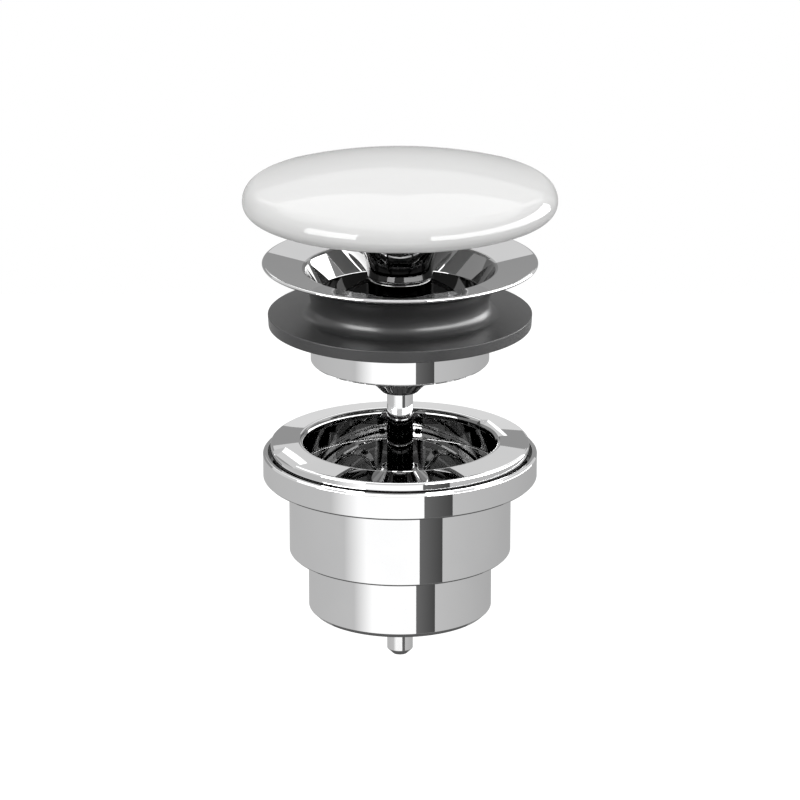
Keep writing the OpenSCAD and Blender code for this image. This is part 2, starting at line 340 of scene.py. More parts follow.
@dataclass(frozen=True)
class Bore:
    """The wall that a round cutter leaves: a cylinder seen from inside, in metres."""

    point: Vector
    axis: Vector
    radius: float

    def spokes(self, places: np.ndarray) -> np.ndarray:
        """Measures from the cylinder's axis.

        Args:
            places: Places in metres, one in each row.

        Returns:
            The vectors from the axis to the places.
        """
        axis = np.array(self.axis.normalized())
        arms = places - np.array(self.point)
        return arms - (arms @ axis)[:, None] * axis

    def away(self, places: np.ndarray) -> np.ndarray:
        """Returns how far places lie from the wall, in millimetres."""
        return np.abs(np.linalg.norm(self.spokes(places), axis=1) - self.radius) / MM

    def normals(self, places: np.ndarray) -> np.ndarray:
        """Returns the normals at places, which look at the cylinder's axis."""
        return -unit_rows(self.spokes(places))


Surface = Union[Edge, Bore]


@dataclass(frozen=True)
class NodeSize:
    """The reach of a CAD node, in millimetres."""

    radius: float
    low: float
    high: float

    @staticmethod
    def of(node: str) -> "NodeSize":
        """Reads a node's reach from the frame."""
        lowest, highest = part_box(node)
        return NodeSize(highest.x / MM, lowest.z / MM, highest.z / MM)


# Node trees


class Wiring:
    """Adds nodes to a tree and joins their sockets."""

    def __init__(self, tree: NodeTree) -> None:
        """Takes the tree to wire."""
        self.tree = tree

    def add(
        self, kind: str, inputs: Mapping[str | int, object] | None = None, **settings: object
    ) -> Node:
        """Adds a node.

        Args:
            kind: The node's type.
            inputs: What its inputs are joined to or set to, by name or place.
            settings: Its properties by name.

        Returns:
            The node.
        """
        node = self.tree.nodes.new(kind)
        for name, value in settings.items():
            setattr(node, name, value)
        self.feed(node, inputs or {})
        return node

    def feed(self, node: Node, inputs: Mapping[str | int, object]) -> None:
        """Joins a node's inputs to other sockets, or sets their values.

        Args:
            node: The node.
            inputs: The sockets or values, by the input's name or place.
        """
        for key, value in inputs.items():
            if isinstance(value, NodeSocket):
                self.tree.links.new(value, node.inputs[key])
            else:
                node.inputs[key].default_value = value

    def given(self) -> NodeOutputs:
        """Returns the tree's inputs."""
        return self.add("NodeGroupInput").outputs

    def integer(self, operation: str, first: object, second: object) -> NodeSocket:
        """Returns the result of an operation on two whole numbers."""
        values = {0: first, 1: second}
        return self.add("FunctionNodeIntegerMath", values, operation=operation).outputs[0]

    def math(self, operation: str, first: object, second: object = 0.0) -> NodeSocket:
        """Returns the result of an operation on two numbers."""
        values = {0: first, 1: second}
        return self.add("ShaderNodeMath", values, operation=operation).outputs[0]


def new_tree(
    kind: str, name: str, inputs: Sequence[tuple[str, str]], outputs: Sequence[tuple[str, str]]
) -> Wiring:
    """Makes an empty node group with its sockets.

    Args:
        kind: Geometry or Shader.
        name: The group's name.
        inputs: Name and type of each input.
        outputs: Name and type of each output.

    Returns:
        The group's wiring.
    """
    tree = bpy.data.node_groups.new(name, f"{kind}NodeTree")
    for side, sockets in (("INPUT", inputs), ("OUTPUT", outputs)):
        for label, value in sockets:
            tree.interface.new_socket(label, in_out=side, socket_type=f"NodeSocket{value}")
    return Wiring(tree)


def geometry_tree(name: str, *inputs: tuple[str, str]) -> Wiring:
    """Makes an empty geometry tree, with the inputs after its geometry, and returns its wiring."""
    geometry = ("Geometry", "Geometry")
    return new_tree("Geometry", name, [geometry, *inputs, ("Material", "Material")], [geometry])


def turned_tree() -> NodeTree:
    """Makes the tree that turns a piece from its outline.

    The outline's points stand on the plane of X and Z. A grid with one row for each
    point and one column for each step is laid round the axis.

    Returns:
        The tree.
    """
    wiring = geometry_tree("turned_piece", ("Rows", "Int"), ("Steps", "Int"))
    given = wiring.given()
    profile, steps = given["Geometry"], given["Steps"]
    size = wiring.add("GeometryNodeAttributeDomainSize", {0: profile}, component="MESH")
    columns = wiring.integer("ADD", steps, 1)
    counts = {"Vertices X": given["Rows"], "Vertices Y": columns}
    grid = wiring.add("GeometryNodeMeshGrid", counts)
    index = wiring.add("GeometryNodeInputIndex").outputs[0]
    row = wiring.integer("DIVIDE_FLOOR", index, columns)
    step = wiring.integer("MODULO", wiring.integer("MODULO", index, columns), steps)
    source = {
        "Geometry": profile,
        "Value": wiring.add("GeometryNodeInputPosition").outputs[0],
        "Index": wiring.integer("MODULO", row, size.outputs["Point Count"]),
    }
    sample = wiring.add(
        "GeometryNodeSampleIndex", source, data_type="FLOAT_VECTOR", domain="POINT"
    )
    angle = wiring.math("DIVIDE", wiring.math("MULTIPLY", step, 2 * math.pi), steps)
    aim = {"Vector": sample.outputs[0], "Angle": angle}
    turn = wiring.add("ShaderNodeVectorRotate", aim, rotation_type="Z_AXIS")
    places = {"Geometry": grid.outputs["Mesh"], "Position": turn.outputs[0]}
    laid = wiring.add("GeometryNodeSetPosition", places)
    near = {"Geometry": laid.outputs[0], "Distance": 1e-7}
    weld = wiring.add("GeometryNodeMergeByDistance", near)
    return end_tree(wiring, weld.outputs[0], given["Material"])


def spread_tree() -> NodeTree:
    """Makes the tree that spreads copies of a part evenly about the axis.

    Returns:
        The tree.
    """
    wiring = geometry_tree("spread_about_axis", ("Count", "Int"), ("Turn", "Float"))
    given = wiring.given()
    points = wiring.add("GeometryNodePoints", {"Count": given["Count"]})
    index = wiring.add("GeometryNodeInputIndex").outputs[0]
    share = wiring.math("DIVIDE", index, given["Count"])
    angle = wiring.math("ADD", wiring.math("MULTIPLY", share, 2 * math.pi), given["Turn"])
    turn = wiring.add("ShaderNodeCombineXYZ", {"Z": angle})
    places = {
        "Points": points.outputs[0],
        "Instance": given["Geometry"],
        "Rotation": turn.outputs[0],
    }
    copies = wiring.add("GeometryNodeInstanceOnPoints", places)
    return end_tree(wiring, copies.outputs[0], given["Material"])


def end_tree(wiring: Wiring, geometry: NodeSocket, material: NodeSocket) -> NodeTree:
    """Ends a tree in Realize Instances and Set Material.

    Args:
        wiring: The tree's wiring.
        geometry: The geometry so far.
        material: The tree's material input.

    Returns:
        The tree.
    """
    real = wiring.add("GeometryNodeRealizeInstances", {0: geometry})
    finish = {"Geometry": real.outputs[0], "Material": material}
    paint = wiring.add("GeometryNodeSetMaterial", finish)
    wiring.add("NodeGroupOutput", {0: paint.outputs[0]})
    return wiring.tree


# Workshop


@dataclass(frozen=True)
class Plate:
    """An upright plate in the plane of +X, in millimetres."""

    corners: Sequence[Point]
    thickness: float
    rounding: float = 0.0
    edge_segments: int = 3


class Workshop:
    """Turns, spreads, cuts and joins meshes, and hands finished pieces over."""

    def __init__(self) -> None:
        """Makes the two geometry trees, the shader groups and the materials."""
        self.turning = turned_tree()
        self.spreading = spread_tree()
        groups = {effect: build() for effect, build in GROUPS.items()}
        self.finishes = {slot: finish.material(groups) for slot, finish in FINISHES.items()}

    @staticmethod
    def put(name: str, data: bpy.types.ID) -> Object:
        """Links data into the scene.

        Args:
            name: The object's name.
            data: A mesh, a camera or a lamp.

        Returns:
            The new object.
        """
        made = bpy.data.objects.new(name, data)
        bpy.context.scene.collection.objects.link(made)
        return made

    @staticmethod
    def settle(piece: Object) -> Object:
        """Turns a piece with its modifiers into a plain mesh.

        Args:
            piece: The piece.

        Returns:
            The same piece.
        """
        evaluated = piece.evaluated_get(bpy.context.evaluated_depsgraph_get())
        mesh = bpy.data.meshes.new_from_object(evaluated)
        piece.modifiers.clear()
        piece.data = mesh
        return piece

    def grow(self, node: str, piece: Object, tree: NodeTree, values: dict[str, object]) -> Object:
        """Runs a geometry tree on a piece.

        Args:
            node: The CAD node whose finish it gets.
            piece: The object with the tree's input mesh.
            tree: The geometry tree.
            values: The tree's other inputs by name.

        Returns:
            The same object with the result as its plain mesh.
        """
        values["Material"] = self.finish(node)
        modifier = piece.modifiers.new(tree.name, "NODES")
        modifier.node_group = tree
        for socket in tree.interface.items_tree:
            if socket.in_out == "INPUT" and socket.name in values:
                modifier[socket.identifier] = values[socket.name]
        return self.settle(piece)

    @staticmethod
    def entry(node: str) -> dict[str, str]:
        """Returns a node's entry in the record."""
        return next(s for s in frame["record"]["subparts"] if s["node"] == node)

    def finish(self, node: str) -> Material:
        """Returns the material of a node's slot."""
        return self.finishes[self.entry(node)["material_slot"]]

    def turned(
        self, node: str, shape: Outline, steps: int = Steps.USUAL, part: str = "finished"
    ) -> Object:
        """Turns a node's piece, or a part of it, about the axis.

        Args:
            node: The CAD node.
            shape: The outline.
            steps: Steps round the axis.
            part: What is turned, for its name.

        Returns:
            The piece or part, with its faces outwards.
        """
        points, name = shape.points(), f"{node}_{part}"
        clear_of_axis = min(r for r, _ in points) > SAME
        mesh = bpy.data.meshes.new(name)
        mesh.from_pydata([(r * MM, 0, z * MM) for r, z in points], [], [])
        values = {"Rows": len(points) + clear_of_axis, "Steps": int(steps)}
        piece = self.grow(node, self.put(name, mesh), self.turning, values)
        self.face_outwards(piece.data)
        return piece

    def plate(self, plate: Plate) -> Object:
        """Makes an upright plate with its edges rounded.

        Args:
            plate: The plate.

        Returns:
            The object.
        """
        half, count = plate.thickness / 2 * MM, len(plate.corners)
        points = [(r * MM, y, z * MM) for y in (-half, half) for r, z in plate.corners]
        faces = [list(range(count)), list(range(2 * count - 1, count - 1, -1))]
        faces += [[i, i + count, (i + 1) % count + count, (i + 1) % count] for i in range(count)]
        mesh = bpy.data.meshes.new("plate")
        mesh.from_pydata(points, [], faces)
        self.face_outwards(mesh)
        piece = self.put("plate", mesh)
        if plate.rounding > 0:
            bevel = piece.modifiers.new("edge", "BEVEL")
            bevel.width, bevel.segments = plate.rounding * MM, plate.edge_segments
            bevel.limit_method = "NONE"
            self.settle(piece)
        return piece

    def spread(self, node: str, plate: Plate, count: int, turn: float = 0.0) -> Object:
        """Makes a plate and spreads copies of it about the axis.

        Args:
            node: The CAD node whose finish they get.
            plate: The plate.
            count: How many copies.
            turn: Turn of the first copy, in degrees.

        Returns:
            One object with all copies in its mesh.
        """
        values = {"Count": count, "Turn": math.radians(turn)}
        return self.grow(node, self.plate(plate), self.spreading, values)

    @staticmethod
    def face_outwards(mesh: Mesh) -> None:
        """Points a closed mesh's faces outwards.

        Args:
            mesh: The mesh.
        """
        shell = bmesh.new()
        shell.from_mesh(mesh)
        bmesh.ops.recalc_face_normals(shell, faces=shell.faces)
        if shell.calc_volume(signed=True) < 0:
            bmesh.ops.reverse_faces(shell, faces=shell.faces)
        shell.to_mesh(mesh)
        shell.free()

    def combine(self, piece: Object, operation: str, *others: Object) -> None:
        """Cuts other solids from a piece or joins them on, and removes them.

        Args:
            piece: The piece that is kept.
            operation: DIFFERENCE or UNION.
            others: The other solids, in order.
        """
        for other in others:
            boolean = piece.modifiers.new("combine", "BOOLEAN")
            boolean.operation, boolean.solver, boolean.object = operation, "EXACT", other
            self.settle(piece)
            bpy.data.objects.remove(other)

    def hand_over(self, piece: Object, node: str, surfaces: Sequence[Surface]) -> None:
        """Sets a piece's finish and normals, lets it ride and stand for its node.

        Args:
            piece: The finished piece.
            node: The CAD node that it stands for.
            surfaces: The turned edges and bores that its faces lie on.
        """
        mesh = piece.data
        mesh.materials.clear()
        mesh.materials.append(self.finish(node))
        mesh.polygons.foreach_set("material_index", [0] * len(mesh.polygons))
        set_normals(mesh, surfaces)
        entry = self.entry(node)
        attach(piece, frame["nodes"][node]["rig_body"])
        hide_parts(node)
        LOG.info("%s: %d faces, in %s", piece.name, len(mesh.polygons), entry["material_slot"])

    def turned_piece(self, node: str, shape: Outline, steps: int = Steps.USUAL) -> None:
        """Turns a node's whole piece of an outline and hands it over."""
        self.hand_over(self.turned(node, shape, steps), node, shape.edges())

    def plain_ring(
        self, node: str, inner: float, rounding: float, steps: int = Steps.USUAL
    ) -> None:
        """Turns a plain ring from its bore and its node's reach, and hands it over.

        Args:
            node: The CAD node that it stands for.
            inner: Radius of its bore in millimetres.
            rounding: Radius of its edges in millimetres.
            steps: Steps round the axis.
        """
        size = NodeSize.of(node)
        shape = ring_outline(inner, size.radius, size.low, size.high, rounding)
        self.turned_piece(node, shape, steps)

    def wheel(self, node: str, rim: Outline, hub: Outline, steps: int, arms: Object) -> None:
        """Joins a rim and a hub with arms into a node's piece, and hands it over.

        Args:
            node: The CAD node that it stands for.
            rim: The rim's outline.
            hub: The hub's outline.
            steps: The hub's steps round the axis.
            arms: The arms.
        """
        piece = self.turned(node, rim)
        self.combine(piece, "UNION", self.turned(node, hub, steps, "hub"), arms)
        self.hand_over(piece, node, rim.edges() + hub.edges())


def corner_arrays(mesh: Mesh) -> tuple[np.ndarray, np.ndarray, np.ndarray]:
    """Reads a mesh into arrays.

    Args:
        mesh: The mesh.

    Returns:
        Each corner's point, each corner's face and each face's normal.
    """
    points = np.zeros(len(mesh.vertices) * 3)
    mesh.vertices.foreach_get("co", points)
    vertex = np.zeros(len(mesh.loops), int)
    mesh.loops.foreach_get("vertex_index", vertex)
    sides = np.zeros(len(mesh.polygons), int)
    mesh.polygons.foreach_get("loop_total", sides)
    normals = np.zeros(len(mesh.polygons) * 3)
    mesh.polygons.foreach_get("normal", normals)
    faces = np.repeat(np.arange(len(mesh.polygons)), sides)
    return points.reshape(-1, 3)[vertex], faces, normals.reshape(-1, 3)


def set_normals(mesh: Mesh, surfaces: Sequence[Surface]) -> None:
    """Gives each face of a mesh the exact normals of the surface that it lies on.

    A face that lies on none of them, such as a rib's, keeps its own normal, blended
    with its like neighbours' at a rounded edge.

    Args:
        mesh: The mesh.
        surfaces: Turned edges and bores.
    """
    farthest, steepest = 0.06, 0.05
    corners, faces, flat = corner_arrays(mesh)
    count = np.bincount(faces)
    centres = np.stack([np.bincount(faces, corners[:, i]) / count for i in range(3)], axis=1)
    best, chosen = np.full(len(centres), farthest), np.full(len(centres), -1)
    for i, surface in enumerate(surfaces):
        lean = 1 - np.sum(surface.normals(centres) * flat, axis=1)
        score = surface.away(centres) + lean
        better = (score < best) & (lean < steepest)
        best[better], chosen[better] = score[better], i
    normals = flat[faces]
    for i, surface in enumerate(surfaces):
        here = chosen[faces] == i
        if here.any():
            normals[here] = surface.normals(corners[here])
    blend_plain_faces(mesh, normals, chosen[faces] < 0, flat, faces)
    mesh.shade_smooth()
    mesh.normals_split_custom_set(normals.tolist())


def blend_plain_faces(
    mesh: Mesh,
    normals: np.ndarray,
    plain: np.ndarray,
    flat: np.ndarray,
    faces: np.ndarray,
) -> None:
    """Blends the normals of plain faces that meet at a shallow angle.

    Args:
        mesh: The mesh.
        normals: Each corner's normal, changed in place.
        plain: Which corners belong to plain faces.
        flat: Each face's normal.
        faces: Each corner's face.
    """
    shallow = 0.82
    areas = np.array([face.area for face in mesh.polygons])
    around: dict[int, list[int]] = {}
    for corner in np.flatnonzero(plain):
        around.setdefault(mesh.loops[int(corner)].vertex_index, []).append(int(corner))
    for group in around.values():
        for corner in group:
            own = flat[faces[corner]]
            like = [faces[c] for c in group if flat[faces[c]] @ own > shallow]
            total = np.sum(flat[like] * areas[like, None], axis=0)
            normals[corner] = total / max(np.linalg.norm(total), TINY)


# Finishes


class Effect(Enum):
    """The shared surface effects, each one shader node group."""

    FILM = "handling_film"
    LATHE = "lathe_lines"
    GRAIN = "fine_grain"
    # Painted shade in bores and hollows, a darker base colour.
    PAINTED_SHADE = "bore_shade"


def effect_group(effect: Effect, inputs: Sequence[str], *outputs: str) -> Wiring:
    """Makes the empty group of an effect.

    Args:
        effect: The effect.
        inputs: Names of the values that it takes besides the position.
        outputs: Names of the values that it gives.

    Returns:
        The group's wiring.
    """
    values = [(name, "Float") for name in inputs]
    given = [("Position", "Vector"), *values]
    return new_tree("Shader", effect.value, given, [(name, "Float") for name in outputs])


def noise(wiring: Wiring, place: NodeSocket, scale: object, detail: float = 2.0) -> NodeSocket:
    """Returns a noise at a place."""
    inputs = {"Vector": place, "Scale": scale, "Detail": detail}
    return wiring.add("ShaderNodeTexNoise", inputs).outputs[0]


def place_in_section(wiring: Wiring, position: NodeSocket) -> tuple[NodeSocket, NodeSocket]:
    """Wires the radius and the height of a position.

    Args:
        wiring: The tree's wiring.
        position: The position.

    Returns:
        Radius and height.
    """
    x, y, z = wiring.add("ShaderNodeSeparateXYZ", {0: position}).outputs
    squares = [wiring.math("MULTIPLY", part, part) for part in (x, y)]
    return wiring.math("SQRT", wiring.math("ADD", *squares)), z


def film_group() -> NodeTree:
    """Makes the thin uneven film that handling leaves.

    Returns:
        The group, which gives a value between two ends, and a mask.
    """
    wiring = effect_group(Effect.FILM, ("Scale", "Low", "High"), "Value", "Mask")
    given = wiring.given()
    patches = {
        "Value": noise(wiring, given["Position"], given["Scale"], 5.0),
        "From Min": 0.35,
        "From Max": 0.7,
    }
    spread = wiring.add("ShaderNodeMapRange", patches, interpolation_type="SMOOTHSTEP")
    ends = {"Value": spread.outputs[0], "To Min": given["Low"], "To Max": given["High"]}
    value = wiring.add("ShaderNodeMapRange", ends).outputs[0]
    wiring.add("NodeGroupOutput", {"Value": value, "Mask": spread.outputs[0]})
    return wiring.tree


def lathe_group() -> NodeTree:
    """Makes the fine rings that a lathe leaves round the axis.

    Returns:
        The group, which gives a mask and a height.
    """
    wiring = effect_group(Effect.LATHE, ("Pitch",), "Mask", "Height")
    given = wiring.given()
    radius, height = place_in_section(wiring, given["Position"])
    across = wiring.math("DIVIDE", radius, given["Pitch"])
    along = wiring.math("DIVIDE", height, given["Pitch"])
    place = wiring.add("ShaderNodeCombineXYZ", {"X": across, "Z": along})
    rings = noise(wiring, place.outputs[0], 1.0, 3.0)
    wiring.add("NodeGroupOutput", {"Mask": rings, "Height": rings})
    return wiring.tree


def grain_group() -> NodeTree:
    """Makes the fine grain of a moulded or glazed face.

    Returns:
        The group, which gives a mask and a height.
    """
    broad_share = 0.12
    wiring = effect_group(Effect.GRAIN, ("Size", "Softness"), "Mask", "Height")
    given = wiring.given()
    fine, broad = (
        noise(wiring, given["Position"], wiring.math("DIVIDE", share, given["Size"]))
        for share in (1.0, broad_share)
    )
    parts = {0: given["Softness"], 2: fine, 3: broad}
    blend = wiring.add("ShaderNodeMix", parts, data_type="FLOAT")
    wiring.add("NodeGroupOutput", {"Mask": broad, "Height": blend.outputs[0]})
    return wiring.tree


def painted_shade_group() -> NodeTree:
    """Makes painted shade inside a bore, between two heights: a mask for a darker base colour that
    stands in for shade.

    Returns:
        The group, which gives a mask.
    """
    wiring = effect_group(Effect.PAINTED_SHADE, ("Radius", "Low", "High", "Fade"), "Mask")
    given = wiring.given()
    radius, height = place_in_section(wiring, given["Position"])
    within = wiring.math("LESS_THAN", radius, given["Radius"])
    above = wiring.math("GREATER_THAN", height, given["Low"])
    depth = wiring.math("SUBTRACT", given["High"], height)
    ends = {"Value": depth, "From Max": given["Fade"]}
    fade = wiring.add("ShaderNodeMapRange", ends, interpolation_type="SMOOTHSTEP")
    shade = wiring.math("MULTIPLY", wiring.math("MULTIPLY", within, above), fade.outputs[0])
    wiring.add("NodeGroupOutput", {"Mask": shade})
    return wiring.tree


Groups = Mapping[Effect, NodeTree]
GROUPS: Mapping[Effect, Callable[[], NodeTree]] = {
    Effect.FILM: film_group,
    Effect.LATHE: lathe_group,
    Effect.GRAIN: grain_group,
    Effect.PAINTED_SHADE: painted_shade_group,
}


@dataclass
class Sheet:
    """A new material with its shader, its wiring and its object coordinates."""

    groups: Groups
    material: Material
    wiring: Wiring
    shader: Node
    position: NodeSocket

    @staticmethod
    def new(name: str, groups: Groups) -> "Sheet":
        """Starts a material.

        Args:
            name: Its name.
            groups: The shared groups.

        Returns:
            The sheet.
        """
        material = bpy.data.materials.new(name)
        material.use_nodes = True
        wiring = Wiring(material.node_tree)
        shader = material.node_tree.nodes["Principled BSDF"]
        position = wiring.add("ShaderNodeTexCoord").outputs["Object"]
        return Sheet(groups, material, wiring, shader, position)

    def effect(self, effect: Effect, **values: float) -> NodeOutputs:
        """Places a shared group in the material.

        Args:
            effect: Which group.
            values: Its inputs by name, besides the position.

        Returns:
            The group node's outputs.
        """
        inputs = {"Position": self.position, **values}
        settings = {"node_tree": self.groups[effect], "label": effect.value}
        return self.wiring.add("ShaderNodeGroup", inputs, **settings).outputs

    def blend(self, mask: NodeSocket, low: object, high: Tone) -> None:
        """Sets the base colour between two colours.

        Args:
            mask: Where the second colour shows.
            low: The first colour, or the socket of the colour so far.
            high: The second colour.
        """
        ends = {"Factor": mask, 6: low, 7: (*high, 1.0)}
        mix = self.wiring.add("ShaderNodeMix", ends, data_type="RGBA")
        self.wiring.feed(self.shader, {"Base Color": mix.outputs[2]})

    def cover(self, mask: NodeSocket, colour: Tone) -> None:
        """Covers the base colour so far with another one by a mask."""
        self.blend(mask, self.shader.inputs["Base Color"].links[0].from_socket, colour)

    def bump(self, height: NodeSocket, depth: float) -> None:
        """Adds a bump.

        Args:
            height: The height's socket.
            depth: The bump's depth in metres.
        """
        inputs = {"Strength": 1.0, "Distance": depth, "Height": height}
        node = self.wiring.add("ShaderNodeBump", inputs)
        self.wiring.feed(self.shader, {"Normal": node.outputs[0]})


@dataclass(frozen=True)
class Finish:
    """A face with an uneven film, and with a colour between two tones."""

    name: str
    tones: tuple[Tone, Tone]
    roughness: Pair

    def sheet(self, groups: Groups, scale: float) -> tuple[Sheet, NodeSocket]:
        """Starts the material with its film.

        Args:
            groups: The shared groups.
            scale: The film's scale.

        Returns:
            The sheet and the film's mask.
        """
        sheet = Sheet.new(self.name, groups)
        low, high = self.roughness
        film = sheet.effect(Effect.FILM, Scale=scale, Low=low, High=high)
        sheet.wiring.feed(sheet.shader, {"Roughness": film["Value"]})
        return sheet, film["Mask"]

    def tint(self, sheet: Sheet, mask: NodeSocket) -> None:
        """Sets the colour between the two tones by a mask."""
        sheet.blend(mask, (*self.tones[0], 1.0), self.tones[1])


@dataclass(frozen=True)
class PaintedShade:
    """Painted shade: a darker base colour within a radius and between two heights, in millimetres,
    standing in for shade and dark reflections.
    """

    radius: float
    low: float
    high: float
    tone: float
    fade: float = 2.0


@dataclass(frozen=True)
class MetalFinish(Finish):
    """A polished or turned metal face."""

    # Zones of painted shade, which darken the base colour.
    bores: tuple[PaintedShade, ...] = ()
    lathe_depth: float = 0.0
    lathe_pitch: float = 0.00012
    film_scale: float = 90.0

    def material(self, groups: Groups) -> Material:
        """Builds the material: a film, lathe rings where the face has them, and painted shade in
        bores and hollows.

        Args:
            groups: The shared groups.

        Returns:
            The material.
        """
        sheet, mask = self.sheet(groups, self.film_scale)
        sheet.shader.inputs["Metallic"].default_value = 1.0
        if self.lathe_depth > 0:
            rings = sheet.effect(Effect.LATHE, Pitch=self.lathe_pitch)
            sheet.bump(rings["Height"], self.lathe_depth)
            mask = rings["Mask"]
        self.tint(sheet, mask)
        # Painted shade: each zone covers the base colour with its darker tone.
        for bore in self.bores:
            sizes = {"Radius": bore.radius, "Low": bore.low, "High": bore.high, "Fade": bore.fade}
            shade = sheet.effect(Effect.PAINTED_SHADE, **{name: size * MM for name, size in sizes.items()})
            sheet.cover(shade["Mask"], (bore.tone,) * 3)
        return sheet.material


@dataclass(frozen=True)
class GrainedFinish(Finish):
    """A moulded rubber or silicone face, or a glazed one with a soft ripple."""

    grain_size: float
    grain_depth: float
    softness: float
    film_scale: float
    specular: float = 0.5

    def material(self, groups: Groups) -> Material:
        """Builds the material: a fine grain under a slightly uneven bloom.

        Args:
            groups: The shared groups.

        Returns:
            The material.
        """
        sheet, _ = self.sheet(groups, self.film_scale)
        sheet.shader.inputs["Specular IOR Level"].default_value = self.specular
        grain = sheet.effect(Effect.GRAIN, Size=self.grain_size, Softness=self.softness)
        self.tint(sheet, grain["Mask"])
        sheet.bump(grain["Height"], self.grain_depth)
        return sheet.material


GLAZED = {"grain_size": 0.0012, "grain_depth": 1e-6, "softness": 0.8, "film_scale": 40.0}
MOULDED = {"softness": 0.3, "film_scale": 60.0}
FINISHES: Mapping[str, MetalFinish | GrainedFinish] = {
    "ceramic": GrainedFinish(
        "white_glaze", ((0.84, 0.84, 0.835), (0.86, 0.86, 0.855)), (0.035, 0.065), **GLAZED
    ),
    "chrome": MetalFinish(
        "mirror_chrome",
        ((0.865, 0.865, 0.868), (0.845, 0.846, 0.85)),
        (0.012, 0.03),
        # Painted shade and painted dark reflections: these zones darken the chrome inside the
        # lower body and tail, round the hub, in the bowl, round the stem under the cap, under the
        # clamp ring and in its mouth.
        bores=(
            PaintedShade(20.0, -80.0, -9.0, 0.45),
            PaintedShade(20.0, -11.0, 8.0, 0.25),
            PaintedShade(22.3, 0.5, 13.9, 0.3, 1.0),
            PaintedShade(14.0, 7.0, 30.0, 0.35),
            PaintedShade(30.45, -33.0, -29.9, 0.2, 0.6),
            PaintedShade(24.3, -54.3, -28.4, 0.66, 0.5),
            PaintedShade(23.0, -30.2, -27.5, 0.25, 0.1),
        ),
    ),
    "steel": MetalFinish(
        "bright_steel",
        ((0.86, 0.86, 0.86), (0.83, 0.83, 0.832)),
        (0.03, 0.06),
        # Painted shade: the screw's base colour is darker where it stands inside the lower body.
        bores=(PaintedShade(24.3, -46.0, -28.6, 0.5),),
        lathe_depth=1e-7,
    ),
    "rubber": GrainedFinish(
        "black_rubber",
        ((0.032, 0.032, 0.033), (0.04, 0.04, 0.041)),
        (0.28, 0.34),
        grain_size=0.0003,
        grain_depth=2e-6,
        specular=0.8,
        **MOULDED,
    ),
    "silicone": GrainedFinish(
        "grey_silicone",
        ((0.44, 0.44, 0.43), (0.5, 0.5, 0.49)),
        (0.4, 0.5),
        grain_size=0.0004,
        grain_depth=3e-6,
        **MOULDED,
    ),
}
"""The finish of each material slot."""


# Pieces


@dataclass
class Assembly:
    """A sub-assembly, with the workshop that builds it."""

    shop: Workshop


